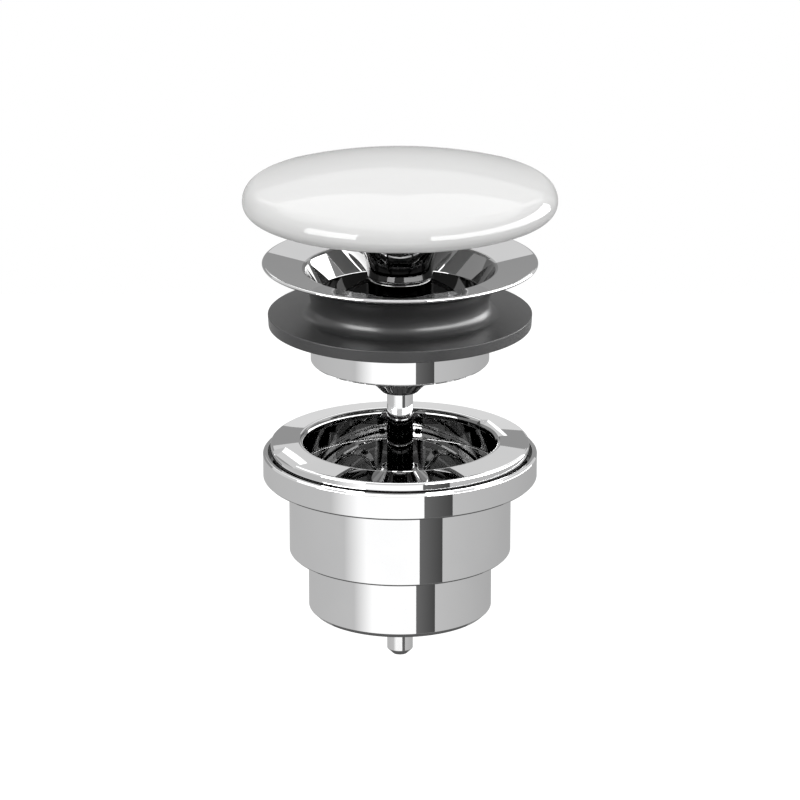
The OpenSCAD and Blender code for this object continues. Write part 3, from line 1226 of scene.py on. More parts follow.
@dataclass
class Cap(Assembly):
    """The ceramic cap with its pad, its flared stem and the stem's rings."""

    dome_r: float = 115.5
    round_up: float = 4.1
    round_down: float = 2.85
    rim_band: float = 0.2
    under_angle: float = 5.5
    recess_r: float = 17.8
    recess_lip: float = 0.6
    collar_r: float = 7.5
    collar_z: float = 11.5
    collar_lip: float = 0.5
    flare_r: float = 13.5
    plug_r: float = 5.6
    plug_bevel: float = 0.8
    groove_h: float = 1.9
    groove_r: float = 4.33
    ring_d: float = 1.6

    def build(self) -> None:
        """Builds the four pieces."""
        pad = NodeSize.of("cap_pad")
        self.shop.turned_piece("ceramic_cap", self.cap_outline(), Steps.WIDE)
        shape = disc_outline(pad.radius, pad.low, pad.high, 0.15)
        self.shop.turned_piece("cap_pad", shape, Steps.HIDDEN)
        self.shop.turned_piece("cap_stem", self.stem_outline())
        self.build_rings()

    def cap_outline(self) -> Outline:
        """Draws the cap: dome, rounded rim, rising underside, recess.

        Returns:
            The outline.
        """
        size = NodeSize.of("ceramic_cap")
        dome_z = size.high - self.dome_r
        rim_r = size.radius - self.round_up
        angle = math.degrees(math.acos(rim_r / (self.dome_r - self.round_up)))
        rim_z = dome_z + (self.dome_r - self.round_up) * math.sin(math.radians(angle))
        low_r, low_z = size.radius - self.round_down, rim_z - self.rim_band
        foot = Bow(low_r, low_z, self.round_down, 0, self.under_angle - 90)
        foot_r, foot_z = foot.end
        edge_z = foot_z + (foot_r - self.recess_r) * math.tan(math.radians(self.under_angle))
        top_z = NodeSize.of("cap_pad").high
        return outline(
            Bow(0, dome_z, self.dome_r, 90, angle),
            Bow(rim_r, rim_z, self.round_up, angle, 0),
            foot,
            (self.recess_r, edge_z, self.recess_lip),
            (self.recess_r, top_z, 0.1),
            (0, top_z),
        )

    def stem_outline(self) -> Outline:
        """Draws the stem: plate, flare, collar lip, and plug with grooves.

        Returns:
            The outline.
        """
        size = NodeSize.of("cap_stem")
        flare_x, flare_z = self.collar_r + self.flare_r, self.collar_z + self.collar_lip
        flare_top = 180 - math.degrees(math.acos((flare_x - size.radius) / self.flare_r))
        grooves: list[tuple[float, ...]] = []
        for middle in reversed(self.groove_heights()):
            high, low = middle + self.groove_h / 2, middle - self.groove_h / 2
            grooves += [
                (self.plug_r, high, 0.1),
                (self.groove_r, high, 0.15),
                (self.groove_r, low, 0.15),
                (self.plug_r, low, 0.1),
            ]
        return outline(
            (0, size.high),
            (size.radius, size.high, 0.2),
            Bow(flare_x, flare_z, self.flare_r, flare_top, 180),
            Bow(self.collar_r - self.collar_lip, flare_z, self.collar_lip, 0, -90),
            (self.plug_r, self.collar_z, 0.2),
            *grooves,
            (self.plug_r, size.low + self.plug_bevel, 0.2),
            (self.plug_r - self.plug_bevel, size.low, 0.2),
            (0, size.low),
        )

    def groove_heights(self) -> Pair:
        """Returns the heights of the two grooves' middles."""
        size = NodeSize.of("stem_o_rings")
        return size.low + self.ring_d / 2, size.high - self.ring_d / 2

    def build_rings(self) -> None:
        """Builds the plug's two rings as one piece."""
        node, full_turn, radius = "stem_o_rings", 359.99, self.ring_d / 2
        middle_r = NodeSize.of(node).radius - radius
        shapes = [outline(Bow(middle_r, z, radius, 0, full_turn)) for z in self.groove_heights()]
        piece, other = (self.shop.turned(node, shape, Steps.SMALL) for shape in shapes)
        self.shop.combine(piece, "UNION", other)
        self.shop.hand_over(piece, node, shapes[0].edges() + shapes[1].edges())


@dataclass
class BasinFlange(Assembly):
    """The dished flange and its hat-shaped gasket."""

    thickness: float = 0.95
    dish_r: float = 21.7
    dish_z: float = 13.3
    turn_rounding: float = 1.0
    throat_r: float = 18.8
    throat_z: float = 7.4
    throat_rounding: float = 0.9
    foot_bevel: float = 0.3
    neck_r: float = 20.35
    neck_foot: float = 2.4
    neck_flare_r: float = 7.0
    neck_end_angle: float = 70
    lip_r: float = 0.6
    lip_drop: float = 0.35
    shoulder_drop: float = 0.3
    brim_t: float = 2.8
    brim_edge: float = 0.15
    seat_gap: float = 0.05
    recess_r: float = 20.75
    recess_z: float = 0.2

    def angles(self) -> Pair:
        """Works out how steep the flange is.

        Returns:
            The slopes of the dish and of the bowl's cone, in radians.
        """
        size = NodeSize.of("flange")
        dish = math.atan((size.high - self.dish_z) / (size.radius - self.dish_r))
        bowl = math.atan((self.dish_z - self.throat_z) / (self.dish_r - self.throat_r))
        return dish, bowl

    def skin(self) -> tuple[float, float, float, float]:
        """Works out where the flange's outer skin turns.

        Returns:
            Radius and height of the upper turn, then of the lower one.
        """
        dish, bowl = self.angles()
        reach = self.thickness * math.tan((bowl - dish) / 2)
        return (
            self.dish_r + reach * math.cos(dish) + self.thickness * math.sin(dish),
            self.dish_z - self.thickness * math.cos(dish) + reach * math.sin(dish),
            self.throat_r + self.thickness,
            self.throat_z - self.thickness * math.tan((math.pi / 2 - bowl) / 2),
        )

    def build(self) -> None:
        """Builds both pieces."""
        self.shop.turned_piece("flange", self.flange_outline(), Steps.WIDE)
        self.shop.turned_piece("flange_gasket", self.gasket_outline(), Steps.WIDE)

    def flange_outline(self) -> Outline:
        """Draws the flange: rolled rim, dish, bowl, spigot.

        Returns:
            The outline.
        """
        size = NodeSize.of("flange")
        dish = math.degrees(self.angles()[0])
        high_r, high_z, low_r, low_z = self.skin()
        roll = self.thickness / 2
        return outline(
            Bow(size.radius - roll, size.high - roll, roll, 90 + dish, dish - 90),
            (high_r, high_z, self.turn_rounding),
            (low_r, low_z, self.turn_rounding),
            (low_r, size.low, 0.1),
            (self.throat_r + self.foot_bevel, size.low, 0.1),
            (self.throat_r, size.low + self.foot_bevel, 0.1),
            (self.throat_r, self.throat_z, self.throat_rounding),
            (self.dish_r, self.dish_z, self.turn_rounding),
        )

    def gasket_outline(self) -> Outline:
        """Draws the gasket: brim, neck, and flare under the dish.

        Returns:
            The outline.
        """
        size = NodeSize.of("flange_gasket")
        high_r, high_z, low_r, low_z = self.skin()
        bore, lip_z = low_r + self.seat_gap, high_z - self.lip_drop
        neck_z, flare_r = self.brim_t + self.neck_foot, self.neck_flare_r
        return outline(
            (bore, self.recess_z, 0.1),
            (self.recess_r, self.recess_z, 0.1),
            (self.recess_r, size.low, 0.1),
            (size.radius - self.brim_edge, size.low, 0.2),
            (size.radius, self.brim_t - self.brim_edge, 0.12),
            (size.radius - self.brim_edge, self.brim_t, 0.12),
            Bow(self.neck_r + self.neck_foot, neck_z, self.neck_foot, 270, 180),
            Bow(self.neck_r + flare_r, neck_z, flare_r, 180, 180 - self.neck_end_angle),
            (high_r + self.lip_r, lip_z, 0.15),
            (high_r + self.seat_gap, lip_z, 0.05),
            (bore, low_z - self.shoulder_drop, 0.5),
        )


@dataclass
class Strainer(Assembly):
    """The ribbed strainer cup with its seal, sleeve, and the screw's washer and seal.

    The rib roots are how far the ribs reach into hub and ring, and the sleeve steps are
    the depths below the stem's plug between which the sleeve's bore narrows.
    """

    hub_r: float = 7.2
    hub_shoulder: float = 0.8
    foot_r: float = 4.25
    cone_angle: float = 45
    ring_low: float = -8.6
    boss_top: float = -3.0
    boss_socket: float = -6.0
    boss_bore: float = 5.3
    screw_seat: float = -12.2
    screw_hole: float = 3.05
    throat_r: float = 18.8
    seal_gap: float = 0.1
    socket_r: float = 19.8
    socket_floor: float = -5.8
    rib_count: int = 4
    rib_turn: float = 45
    rib_t: float = 1.6
    rib_top: float = -3.2
    rib_edge: float = 0.25
    rib_roots: Pair = (0.5, 0.3)
    rib_drop: float = 0.2
    sleeve_bore: float = 6.03
    sleeve_foot_bore: float = 5.2
    sleeve_gap: float = 0.05
    sleeve_lift: float = 0.02
    sleeve_mouth: float = 0.4
    sleeve_steps: Pair = (0.6, 1.4)
    edge: float = 0.4

    def build(self) -> None:
        """Builds the five pieces."""
        self.build_cup()
        self.shop.turned_piece("hub_sleeve", self.sleeve_outline())
        for node, inner in (
            ("strainer_seal", self.throat_r + self.seal_gap),
            ("screw_seal", self.screw_hole),
            ("screw_washer", self.screw_hole),
        ):
            self.shop.plain_ring(node, inner, 0.15, Steps.SMALL)

    def cone(self, r: float) -> float:
        """Returns the height of the hub's cone at a radius."""
        low = NodeSize.of("strainer_cup").low
        return low + (r - self.foot_r) / math.tan(math.radians(self.cone_angle))

    def build_cup(self) -> None:
        """Builds ring, boss and ribs, and joins them into one piece."""
        inner, outer = self.hub_r - self.rib_roots[0], self.throat_r + self.rib_roots[1]
        corners = (
            (inner, self.cone(inner)),
            (outer, self.ring_low + self.edge),
            (outer, self.socket_floor - self.rib_drop),
            (inner, self.rib_top),
        )
        node, rib = "strainer_cup", Plate(corners, self.rib_t, self.rib_edge)
        ribs = self.shop.spread(node, rib, self.rib_count, self.rib_turn)
        self.shop.wheel(node, self.wall_outline(), self.boss_outline(), Steps.USUAL, ribs)

    def wall_outline(self) -> Outline:
        """Draws the cup's ring, with its socket for the spigot.

        Returns:
            The outline.
        """
        size = NodeSize.of("strainer_cup")
        return outline(
            (self.throat_r, self.ring_low, 0.25),
            (size.radius - self.edge, self.ring_low, 0.3),
            (size.radius, self.ring_low + self.edge, 0.3),
            (size.radius, size.high, 0.15),
            (self.socket_r, size.high, 0.1),
            (self.socket_r, self.socket_floor, 0.05),
            (self.throat_r, self.socket_floor, 0.1),
        )

    def boss_outline(self) -> Outline:
        """Draws the hub's boss: foot, cone, and the screw head's pocket.

        Returns:
            The outline.
        """
        low = NodeSize.of("strainer_cup").low
        return outline(
            (self.screw_hole, low, 0.2),
            (self.foot_r, low, 0.2),
            (self.hub_r, self.cone(self.hub_r), self.hub_shoulder),
            (self.hub_r, self.boss_top, 0.1),
            (self.sleeve_bore, self.boss_top, 0.1),
            (self.sleeve_bore, self.boss_socket, 0.1),
            (self.boss_bore, self.boss_socket, 0.1),
            (self.boss_bore, self.screw_seat, 0.2),
            (self.screw_hole, self.screw_seat, 0.1),
        )

    def sleeve_outline(self) -> Outline:
        """Draws the sleeve that takes the stem's plug.

        Returns:
            The outline.
        """
        size = NodeSize.of("hub_sleeve")
        plug_low = NodeSize.of("cap_stem").low
        foot_r, seat_z = self.sleeve_bore - self.sleeve_gap, self.boss_top + self.sleeve_lift
        return outline(
            (self.sleeve_foot_bore, size.low, 0.05),
            (foot_r, size.low, 0.1),
            (foot_r, seat_z, 0.05),
            (size.radius, seat_z, 0.1),
            (size.radius, size.high - self.edge, 0.3),
            (size.radius - self.edge, size.high, 0.3),
            (self.sleeve_bore + self.sleeve_mouth, size.high, 0.2),
            (self.sleeve_bore, size.high - self.sleeve_mouth, 0.2),
            (self.sleeve_bore, plug_low - self.sleeve_steps[0], 0.2),
            (self.sleeve_foot_bore, plug_low - self.sleeve_steps[1], 0.2),
        )


@dataclass
class CentreScrew(Assembly):
    """The long centre screw: socket head, plain shank, bevelled tip."""

    shank_r: float = 3.0
    head_h: float = 6.0
    head_edge: float = 0.5
    tip_bevel: float = 1.3
    socket_flats: float = 5.0
    socket_depth: float = 3.0

    def build(self) -> None:
        """Builds the screw and sinks the hexagon socket into its head."""
        node = "centre_screw"
        size = NodeSize.of(node)
        shape = outline(
            (0, size.low),
            (self.shank_r - self.tip_bevel, size.low, 0.25),
            (self.shank_r, size.low + self.tip_bevel, 0.25),
            (self.shank_r, size.high - self.head_h, 0.1),
            (size.radius, size.high - self.head_h, 0.15),
            (size.radius, size.high - self.head_edge, 0.2),
            (size.radius - self.head_edge, size.high, 0.2),
            (0, size.high),
        )
        piece = self.shop.turned(node, shape, Steps.SLIM)
        across = self.socket_flats / 2 / math.cos(math.pi / 6)
        hexagon = disc_outline(across, size.high - self.socket_depth, 0)
        socket = self.shop.turned(node, hexagon, Steps.HEXAGON, "socket")
        self.shop.combine(piece, "DIFFERENCE", socket)
        self.shop.hand_over(piece, node, shape.edges())


@dataclass(frozen=True)
class Scoop:
    """One spanner scoop, along the tangent: its axis from the ring's, and its turn.

    Radius and height of the face there are in millimetres, and the turn is in degrees.
    """

    radius: float
    face_z: float
    turn: float


@dataclass
class ClampRing(Assembly):
    """The clamp ring with its two spanner scoops, and the seal under it.

    An inset is how far a scoop's axis lies inward of its edge, and how much higher the
    face is there.
    """

    mouth_r: float = 22.1
    crest_roll: float = 1.3
    crest_start: float = 85
    mouth_h: float = 0.8
    mouth_bevel: float = 0.3
    fall: float = 0.6
    edge_h: float = 2.75
    foot: float = 1.0
    corner: float = 0.6
    bore_r: float = 24.0
    skirt_r: float = 26.5
    seal_gap: float = 0.2
    scoop_r: float = 6.4
    scoop_depth: float = 0.8
    scoop_length: float = 12.4
    inner_turn: float = 20
    outer_turn: float = 205
    inner_inset: Pair = (1.0, -0.1)
    outer_inset: Pair = (0.5, 0.2)

    def build(self) -> None:
        """Builds both pieces."""
        node = "clamp_ring"
        size, shape = NodeSize.of(node), self.ring_outline()
        piece = self.shop.turned(node, shape, Steps.WIDE)
        (inner_r, inner_z), (outer_r, outer_z) = self.inner_inset, self.outer_inset
        surfaces: list[Surface] = list(shape.edges())
        for scoop in (
            Scoop(size.radius - outer_r, size.high - self.fall + outer_z, self.outer_turn),
            Scoop(self.mouth_r - inner_r, size.high + inner_z, self.inner_turn),
        ):
            cutter, wall = self.cutter(scoop)
            self.shop.combine(piece, "DIFFERENCE", cutter)
            surfaces.append(wall)
        self.shop.hand_over(piece, node, surfaces)
        self.shop.plain_ring("clamp_seal", self.skirt_r + self.seal_gap, 0.25)

    def ring_outline(self) -> Outline:
        """Draws the ring: rolled crest, falling face, edge, skirt.

        Returns:
            The outline.
        """
        size, roll = NodeSize.of("clamp_ring"), self.crest_roll
        edge_z, crest_z = size.high - self.fall, size.high - roll
        low_z, mouth_z = edge_z - self.edge_h, crest_z - self.mouth_h
        return outline(
            Bow(self.mouth_r + roll, crest_z, roll, self.crest_start, 180),
            (self.mouth_r, mouth_z, 0.3),
            (self.bore_r, mouth_z - self.mouth_bevel, 0.3),
            (self.bore_r, size.low, 0.2),
            (self.skirt_r, size.low, 0.2),
            (self.skirt_r, low_z, 0.1),
            (size.radius, low_z, self.foot),
            (size.radius, edge_z, self.corner),
        )

    def cutter(self, scoop: Scoop) -> tuple[Object, Bore]:
        """Makes the cutter of one spanner scoop.

        Args:
            scoop: The scoop's place.

        Returns:
            The cutter and the wall that it leaves.
        """
        half, radius = self.scoop_length / 2, self.scoop_r
        tool = disc_outline(radius, -half, half)
        cutter = self.shop.turned("clamp_ring", tool, Steps.SCOOP, "scoop")
        spot = Vector((scoop.radius, 0, scoop.face_z + radius - self.scoop_depth)) * MM
        about = Matrix.Rotation(math.radians(scoop.turn), 4, "Z")
        place = about @ Matrix.Translation(spot) @ Matrix.Rotation(math.pi / 2, 4, "X")
        cutter.data.transform(place)
        return cutter, Bore(about @ spot, about.to_3x3() @ Vector((0, 1, 0)), radius * MM)


@dataclass
class LowerBody(Assembly):
    """The lower cup, and the tail piece with its seal and lock ring."""

    middle_r: float = 25.6
    bore_r: float = 24.0
    head_low: float = -36.5
    bevel: float = 0.4
    recess_r: float = 30.4
    skirt_bore: float = 26.55
    skirt_low: float = -35.5
    floor_t: float = 1.7
    floor_bevel: float = 0.8
    hole_r: float = 20.35
    tail_bore: float = 18.4
    spider_bore: float = 19.3
    spider_seat: float = -58.0
    groove_r: float = 19.9
    groove_top: float = -62.0
    groove_h: float = 1.3
    chamfer: float = 1.0
    seat_gap: float = 0.05
    slot_count: int = 6
    slot_w: float = 4.0
    slot_floor: float = 0.6
    slot_depth: float = 1.2
    slot_reach: float = 2.0
    slot_rise: float = 1.0

    def build(self) -> None:
        """Builds the four pieces."""
        self.shop.turned_piece("lower_cup", self.cup_outline(), Steps.WIDE)
        self.shop.turned_piece("tail_piece", self.tail_outline(), Steps.TAIL)
        self.shop.plain_ring("tail_seal", self.hole_r, 0.2)
        self.build_lock_ring()

    def cup_outline(self) -> Outline:
        """Draws the lower cup: head with its recess, middle cup, floor.

        Returns:
            The outline.
        """
        size, seal = NodeSize.of("lower_cup"), NodeSize.of("clamp_seal")
        floor = size.low + self.floor_t
        return outline(
            (self.hole_r, size.low, 0.1),
            (self.middle_r - self.bevel, size.low, 0.2),
            (self.middle_r, size.low + self.bevel, 0.2),
            (self.middle_r, self.head_low, 0.15),
            (size.radius - self.bevel, self.head_low, 0.2),
            (size.radius, self.head_low + self.bevel, 0.2),
            (size.radius, size.high - self.bevel, 0.2),
            (size.radius - self.bevel, size.high, 0.2),
            (self.recess_r, size.high, 0.08),
            (self.recess_r, seal.low, 0.1),
            (self.skirt_bore, seal.low, 0.1),
            (self.skirt_bore, self.skirt_low, 0.1),
            (self.bore_r, self.skirt_low, 0.15),
            (self.bore_r, floor + self.floor_bevel, 0.3),
            (self.bore_r - self.floor_bevel, floor, 0.3),
            (self.hole_r, floor, 0.1),
        )

    def tail_outline(self) -> Outline:
        """Draws the tail piece: chamfered end, neck, seat and groove.

        Returns:
            The outline.
        """
        size, cup_low = NodeSize.of("tail_piece"), NodeSize.of("lower_cup").low
        neck = self.hole_r - self.seat_gap
        groove_low = self.groove_top - self.groove_h
        return outline(
            (self.spider_bore, size.low, 0.15),
            (size.radius - self.chamfer, size.low, 0.2),
            (size.radius, size.low + self.chamfer, 0.3),
            (size.radius, cup_low, 0.1),
            (neck, cup_low, 0.05),
            (neck, size.high, 0.15),
            (self.tail_bore + self.bevel, size.high, 0.15),
            (self.tail_bore, size.high - self.bevel, 0.15),
            (self.tail_bore, self.spider_seat, 0.1),
            (self.spider_bore, self.spider_seat, 0.1),
            (self.spider_bore, self.groove_top, 0.1),
            (self.groove_r, self.groove_top, 0.1),
            (self.groove_r, groove_low, 0.1),
            (self.spider_bore, groove_low, 0.1),
        )

    def build_lock_ring(self) -> None:
        """Builds the lock ring and cuts its slots."""
        node = "tail_lock_ring"
        size = NodeSize.of(node)
        shape = ring_outline(self.hole_r, size.radius, size.low, size.high, 0.2)
        piece = self.shop.turned(node, shape)
        inner, outer = size.radius - self.slot_depth, size.radius + self.slot_reach
        floor, top = size.low + self.slot_floor, size.high + self.slot_rise
        slot = Plate(box_corners(inner, outer, floor, top), self.slot_w)
        self.shop.combine(piece, "DIFFERENCE", self.shop.spread(node, slot, self.slot_count))
        self.shop.hand_over(piece, node, shape.edges())


@dataclass
class OutletSpider(Assembly):
    """The spider in the outlet, its open snap ring, and the insert for the screw.

    The arm roots are how far the arms reach into boss and rim. The snap cut is the gap
    cutter's inner and outer reach, and how far it stands out above and below.
    """

    rim_r: float = 17.2
    rim_low: float = -62.0
    rim_high: float = -58.0
    boss_r: float = 5.2
    boss_bore: float = 4.0
    boss_bevel: Pair = (1.0, 1.5)
    arm_count: int = 4
    arm_turn: float = 45
    arm_t: float = 2.2
    arm_edge: float = 0.4
    arm_roots: Pair = (0.4, 0.5)
    arm_lift: float = 0.6
    arm_drop: float = 1.8
    arm_inset: float = 0.05
    snap_inner: float = 17.6
    snap_gap: float = 5.0
    snap_cut: tuple[float, float, float] = (10.0, 30.0, 1.0)
    insert_r: float = 3.975
    insert_bore: float = 3.05
    insert_head_h: float = 1.0

    def build(self) -> None:
        """Builds the three pieces."""
        self.build_spider()
        self.build_snap_ring()
        size = NodeSize.of("thread_insert")
        head_z = size.low + self.insert_head_h
        shape = outline(
            (self.insert_bore, size.low, 0.15),
            (size.radius, size.low, 0.2),
            (size.radius, head_z, 0.1),
            (self.insert_r, head_z, 0.05),
            (self.insert_r, size.high, 0.15),
            (self.insert_bore, size.high, 0.15),
        )
        self.shop.turned_piece("thread_insert", shape, Steps.SMALL)

    def build_spider(self) -> None:
        """Builds rim, boss and arms, and joins them into one piece."""
        node = "outlet_spider"
        size = NodeSize.of(node)
        rim = ring_outline(self.rim_r, size.radius, self.rim_low, self.rim_high, 0.15)
        bevel_r, bevel_h = self.boss_bevel
        boss = outline(
            (self.boss_bore, size.low, 0.1),
            (self.boss_r, size.low, 0.3),
            (self.boss_r, size.high - bevel_h, 0.5),
            (self.boss_r - bevel_r, size.high, 0.15),
            (self.boss_bore, size.high, 0.05),
        )
        inner, outer = self.boss_r - self.arm_roots[0], self.rim_r + self.arm_roots[1]
        corners = (
            (inner, size.low + self.arm_lift),
            (outer, self.rim_low + self.arm_inset),
            (outer, self.rim_high - self.arm_inset),
            (inner, size.high - self.arm_drop),
        )
        arm = Plate(corners, self.arm_t, self.arm_edge)
        arms = self.shop.spread(node, arm, self.arm_count, self.arm_turn)
        self.shop.wheel(node, rim, boss, Steps.SLIM, arms)

    def build_snap_ring(self) -> None:
        """Builds the snap ring, whose gap is at +X, and cuts the gap."""
        node = "spider_snap_ring"
        size, outer = NodeSize.of(node), -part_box(node)[0].x / MM
        shape = ring_outline(self.snap_inner, outer, size.low, size.high, 0.2)
        piece = self.shop.turned(node, shape)
        near, far, over = self.snap_cut
        section = box_corners(near, far, size.low - over, size.high + over)
        self.shop.combine(piece, "DIFFERENCE", self.shop.plate(Plate(section, self.snap_gap)))
        self.shop.hand_over(piece, node, shape.edges())


# Studio


@dataclass(frozen=True)
class Card:
    """A grey card of the studio, seen only in reflections.

    Azimuths are in degrees from the camera's side, positive to its right, and
    elevations are in degrees above the horizon. The level goes from the first
    azimuth to the second, and so does the lower edge where it rises. The faces are a
    step wide, or a fine step where the corners are rounded, also in degrees.
    """

    name: str
    azimuths: Pair
    elevations: Pair
    levels: Pair
    distance: float = 12.0
    rise: float = 0.0
    rounding: float = 0.0
    step: float = 2.0
    fine_step: float = 0.5

    def span(self, share: float) -> Pair:
        """Works out the card's edges.

        Args:
            share: Share of the card's width.

        Returns:
            The lower and upper edge there, in degrees.
        """
        width = self.azimuths[1] - self.azimuths[0]
        lack = max(0.0, self.rounding - min(share, 1 - share) * width)
        inset = self.rounding - math.sqrt(self.rounding**2 - lack**2)
        low, high = self.elevations
        return low + self.rise * share + inset, high - inset

    def counts(self) -> tuple[int, int]:
        """Counts the card's faces, more of them where it is rounded.

        Returns:
            How many are across and how many are up.
        """
        step = self.fine_step if self.rounding else self.step
        sides = (self.azimuths, self.elevations)
        across, up = (max(1, math.ceil((last - first) / step)) for first, last in sides)
        return across, up


def between(ends: Pair, share: float) -> float:
    """Returns the value at a share of the way between two ends."""
    return ends[0] + (ends[1] - ends[0]) * share


def toward(azimuth: float, elevation: float) -> Vector:
    """Works out a direction.

    Args:
        azimuth: Degrees from the camera's side.
        elevation: Degrees above the horizon.

    Returns:
        The unit vector.
    """
    turn, tilt = math.radians(azimuth), math.radians(elevation)
    flat = math.cos(tilt)
    return Vector((math.sin(turn) * flat, -math.cos(turn) * flat, math.sin(tilt)))


@dataclass(frozen=True)
class SoftLamp:
    """A square soft lamp that looks at the object."""

    name: str
    place: tuple[float, float, float]
    power: float
    size: float = 1.2


@dataclass
class Studio:
    """Camera, plain pale floor, white surround, soft lamps and grey cards."""

    aim_z: float = -0.0183
    elevation: float = 18.1
    distance: float = 1.001
    lens: float = 196.3
    view_depth: float = 200.0
    floor_z: float = -6.0
    floor_size: float = 40.0
    floor_tone: float = 0.5
    floor_roughness: float = 0.9
    ambient: float = 0.7
    floor_lift: float = 0.8
    cards: tuple[Card, ...] = (
        Card("front_white", (-35, 20.2), (-22.6, -9), (1.17, 1.17)),
        Card("left_fade", (-60, -35), (-22.6, -9), (0.58, 1.17)),
        Card("left_wall", (-174, -60), (-22.6, -9), (0.49, 0.58)),
        Card("backdrop", (174, 186), (-22.6, -12), (1.0, 1.0)),
        Card("dark_flag", (20.2, 44.7), (-22.6, -9), (0.15, 0.067)),
        Card("right_wall", (44.7, 174), (-22.6, -9), (0.58, 0.42)),
        Card("left_window", (-72, -31), (-7, 24), (7.0, 8.5), 11.5),
        Card("right_window", (22, 138), (-8, 18), (7.5, 7.0), 11.5),
        Card("rear_left", (-180, -130), (-9, 19.3), (0.32, 0.32), 11.5),
        Card("rear_right", (152, 180), (-9, 20.3), (0.32, 0.32), 11.5),
        Card("low_reflector", (158, 196), (-0.7, 10.3), (0.76, 0.76), 0.15, 0, 5.0),
        Card("middle_ring", (-180, 180), (-9, 38), (0.69, 0.69)),
        Card("front_ceiling", (-90, 90), (38, 60), (0.76, 0.76)),
        Card("rear_ceiling_left", (146, 180), (21.0, 60), (1.45, 1.45), 11.5, 16.0),
        Card("rear_ceiling_right", (180, 214), (37.0, 60), (1.45, 1.45), 11.5, -16.0),
        Card("side_ceiling_left", (90, 146), (38, 60), (1.7, 1.7)),
        Card("side_ceiling_right", (214, 270), (38, 60), (1.7, 1.7)),
        Card("ceiling", (-180, 180), (60, 89.9), (2.0, 2.0)),
        Card("near_ground", (-180, 180), (-38, -22.6), (0.32, 0.32), 5.0),
        Card("ground", (-180, 180), (-89.9, -38), (0.11, 0.11), 5.0),
    )
    lamps: tuple[SoftLamp, ...] = (
        SoftLamp("key_lamp", (-0.9, -1.3, 1.6), 11.0),
        SoftLamp("fill_lamp", (1.4, -0.7, 1.0), 6.0),
        SoftLamp("rear_lamp", (0.0, 2.2, 0.9), 21.0),
    )

    def build(self) -> None:
        """Builds the whole studio."""
        self.place_camera()
        self.light_world()
        self.lay_floor()
        glow = self.card_material()
        for card in self.cards:
            self.hang(card, glow)
        for lamp in self.lamps:
            self.light(lamp)
        bpy.context.scene.view_settings.view_transform = "Standard"

    def aim(self, item: Object, place: Vector) -> None:
        """Puts a camera or lamp in place and turns it toward the object's middle.

        Args:
            item: The camera or lamp.
            place: Its place.
        """
        item.location = place
        ahead = Vector((0, 0, self.aim_z)) - place
        item.rotation_euler = ahead.to_track_quat("-Z", "Y").to_euler()

    def place_camera(self) -> None:
        """Places the camera at the photograph's angle."""
        data = bpy.data.cameras.new("camera")
        data.lens, data.clip_end = self.lens, self.view_depth
        camera = Workshop.put("camera", data)
        self.aim(camera, Vector((0, 0, self.aim_z)) + toward(0, self.elevation) * self.distance)
        bpy.context.scene.camera = camera

    @staticmethod
    def shown_ray(wiring: Wiring) -> NodeSocket:
        """Tells the rays that show the background: camera, glossy, transmission.

        Args:
            wiring: The tree's wiring.

        Returns:
            1 for those rays and 0 for others.
        """
        path = wiring.add("ShaderNodeLightPath").outputs
        shown = wiring.math("MAXIMUM", path["Is Camera Ray"], path["Is Glossy Ray"])
        return wiring.math("MAXIMUM", shown, path["Is Transmission Ray"])

    def light_world(self) -> None:
        """Makes the surround: plain white where it shows, softer as light."""
        world = bpy.data.worlds.new("surround")
        world.use_nodes = True
        wiring = Wiring(world.node_tree)
        lift = wiring.math("MULTIPLY", self.shown_ray(wiring), 1 - self.ambient)
        strength = wiring.math("ADD", lift, self.ambient)
        background = world.node_tree.nodes["Background"]
        wiring.feed(background, {"Color": (1, 1, 1, 1), "Strength": strength})
        bpy.context.scene.world = world

    def lay_floor(self) -> None:
        """Lays the plain pale floor, which shows white and takes the object's shadow."""
        half = self.floor_size / 2
        mesh = bpy.data.meshes.new("floor")
        corners = [(-half, -half), (half, -half), (half, half), (-half, half)]
        mesh.from_pydata([(x, y, self.floor_z) for x, y in corners], [], [(0, 1, 2, 3)])
        floor = Workshop.put("floor", mesh)
        material = bpy.data.materials.new("pale_floor")
        material.use_nodes = True
        wiring = Wiring(material.node_tree)
        lift = wiring.math("MULTIPLY", self.shown_ray(wiring), self.floor_lift)
        looks = {
            "Base Color": (*(self.floor_tone,) * 3, 1),
            "Roughness": self.floor_roughness,
            "Specular IOR Level": 0.0,
            "Emission Color": (1, 1, 1, 1),
            "Emission Strength": lift,
        }
        wiring.feed(material.node_tree.nodes["Principled BSDF"], looks)
        mesh.materials.append(material)

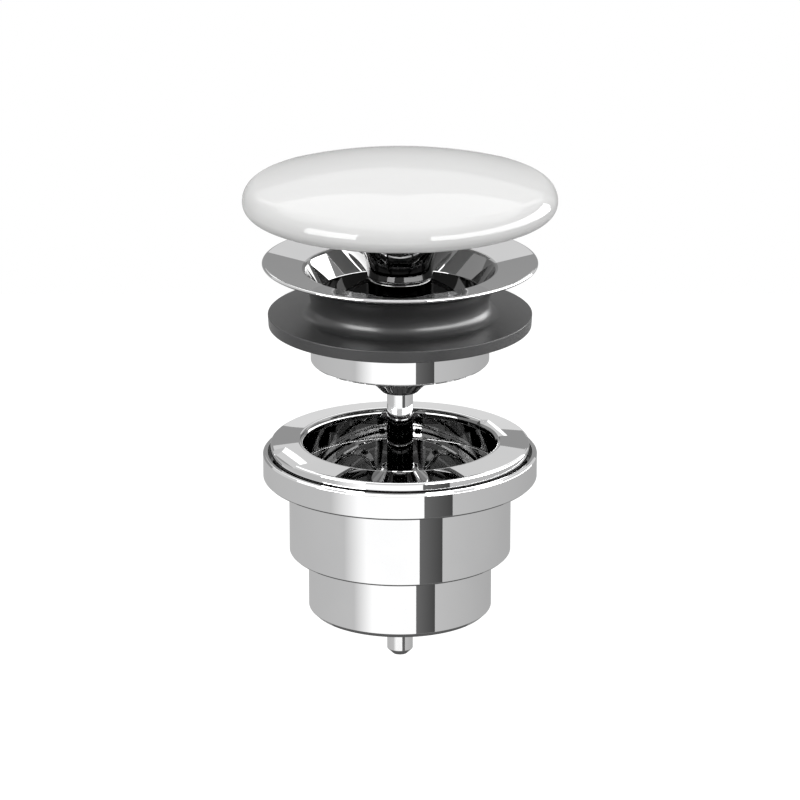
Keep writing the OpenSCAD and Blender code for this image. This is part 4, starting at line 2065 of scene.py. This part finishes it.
    def hang(self, card: Card, glow: Material) -> None:
        """Hangs a card round the object, curved about its axis.

        Args:
            card: The card.
            glow: The cards' material.
        """
        columns, rows = card.counts()
        points, levels = [], []
        for i in range(columns + 1):
            share = i / columns
            azimuth, edges = between(card.azimuths, share), card.span(share)
            for j in range(rows + 1):
                points.append(toward(azimuth, between(edges, j / rows)) * card.distance)
                levels.append(between(card.levels, share))
        starts = [i * (rows + 1) + j for i in range(columns) for j in range(rows)]
        faces = [(first, first + rows + 1, first + rows + 2, first + 1) for first in starts]
        mesh = bpy.data.meshes.new(card.name)
        mesh.from_pydata(points, [], faces)
        mesh.attributes.new("level", "FLOAT", "POINT").data.foreach_set("value", levels)
        mesh.materials.append(glow)
        made = Workshop.put(card.name, mesh)
        made.location.z = self.aim_z
        made.visible_camera = made.visible_diffuse = made.visible_shadow = False
        made.visible_transmission = made.visible_volume_scatter = False

    @staticmethod
    def card_material() -> Material:
        """Makes the cards' material, which gives back the level of each point.

        Returns:
            The material.
        """
        material = bpy.data.materials.new("studio_card")
        material.use_nodes = True
        material.node_tree.nodes.clear()
        wiring = Wiring(material.node_tree)
        level = wiring.add("ShaderNodeAttribute", attribute_name="level").outputs["Fac"]
        glow = wiring.add("ShaderNodeEmission", {"Strength": level})
        wiring.add("ShaderNodeOutputMaterial", {0: glow.outputs[0]})
        return material

    def light(self, lamp: SoftLamp) -> None:
        """Places a soft lamp, which lights but isn't seen in reflections.

        Args:
            lamp: The lamp.
        """
        data = bpy.data.lights.new(lamp.name, "AREA")
        data.energy, data.size = lamp.power, lamp.size
        made = Workshop.put(lamp.name, data)
        self.aim(made, Vector(lamp.place))
        made.visible_camera = made.visible_glossy = False


def main() -> None:
    """Builds the studio and every sub-assembly."""
    logging.basicConfig(level=logging.INFO, format="%(name)s: %(message)s")
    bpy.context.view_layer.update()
    Studio().build()
    shop = Workshop()
    kinds = (Cap, BasinFlange, Strainer, CentreScrew, ClampRing, LowerBody, OutletSpider)
    for kind in kinds:
        LOG.info("%s", kind.__name__)
        kind(shop).build()


if __name__ == "__main__":
    main()
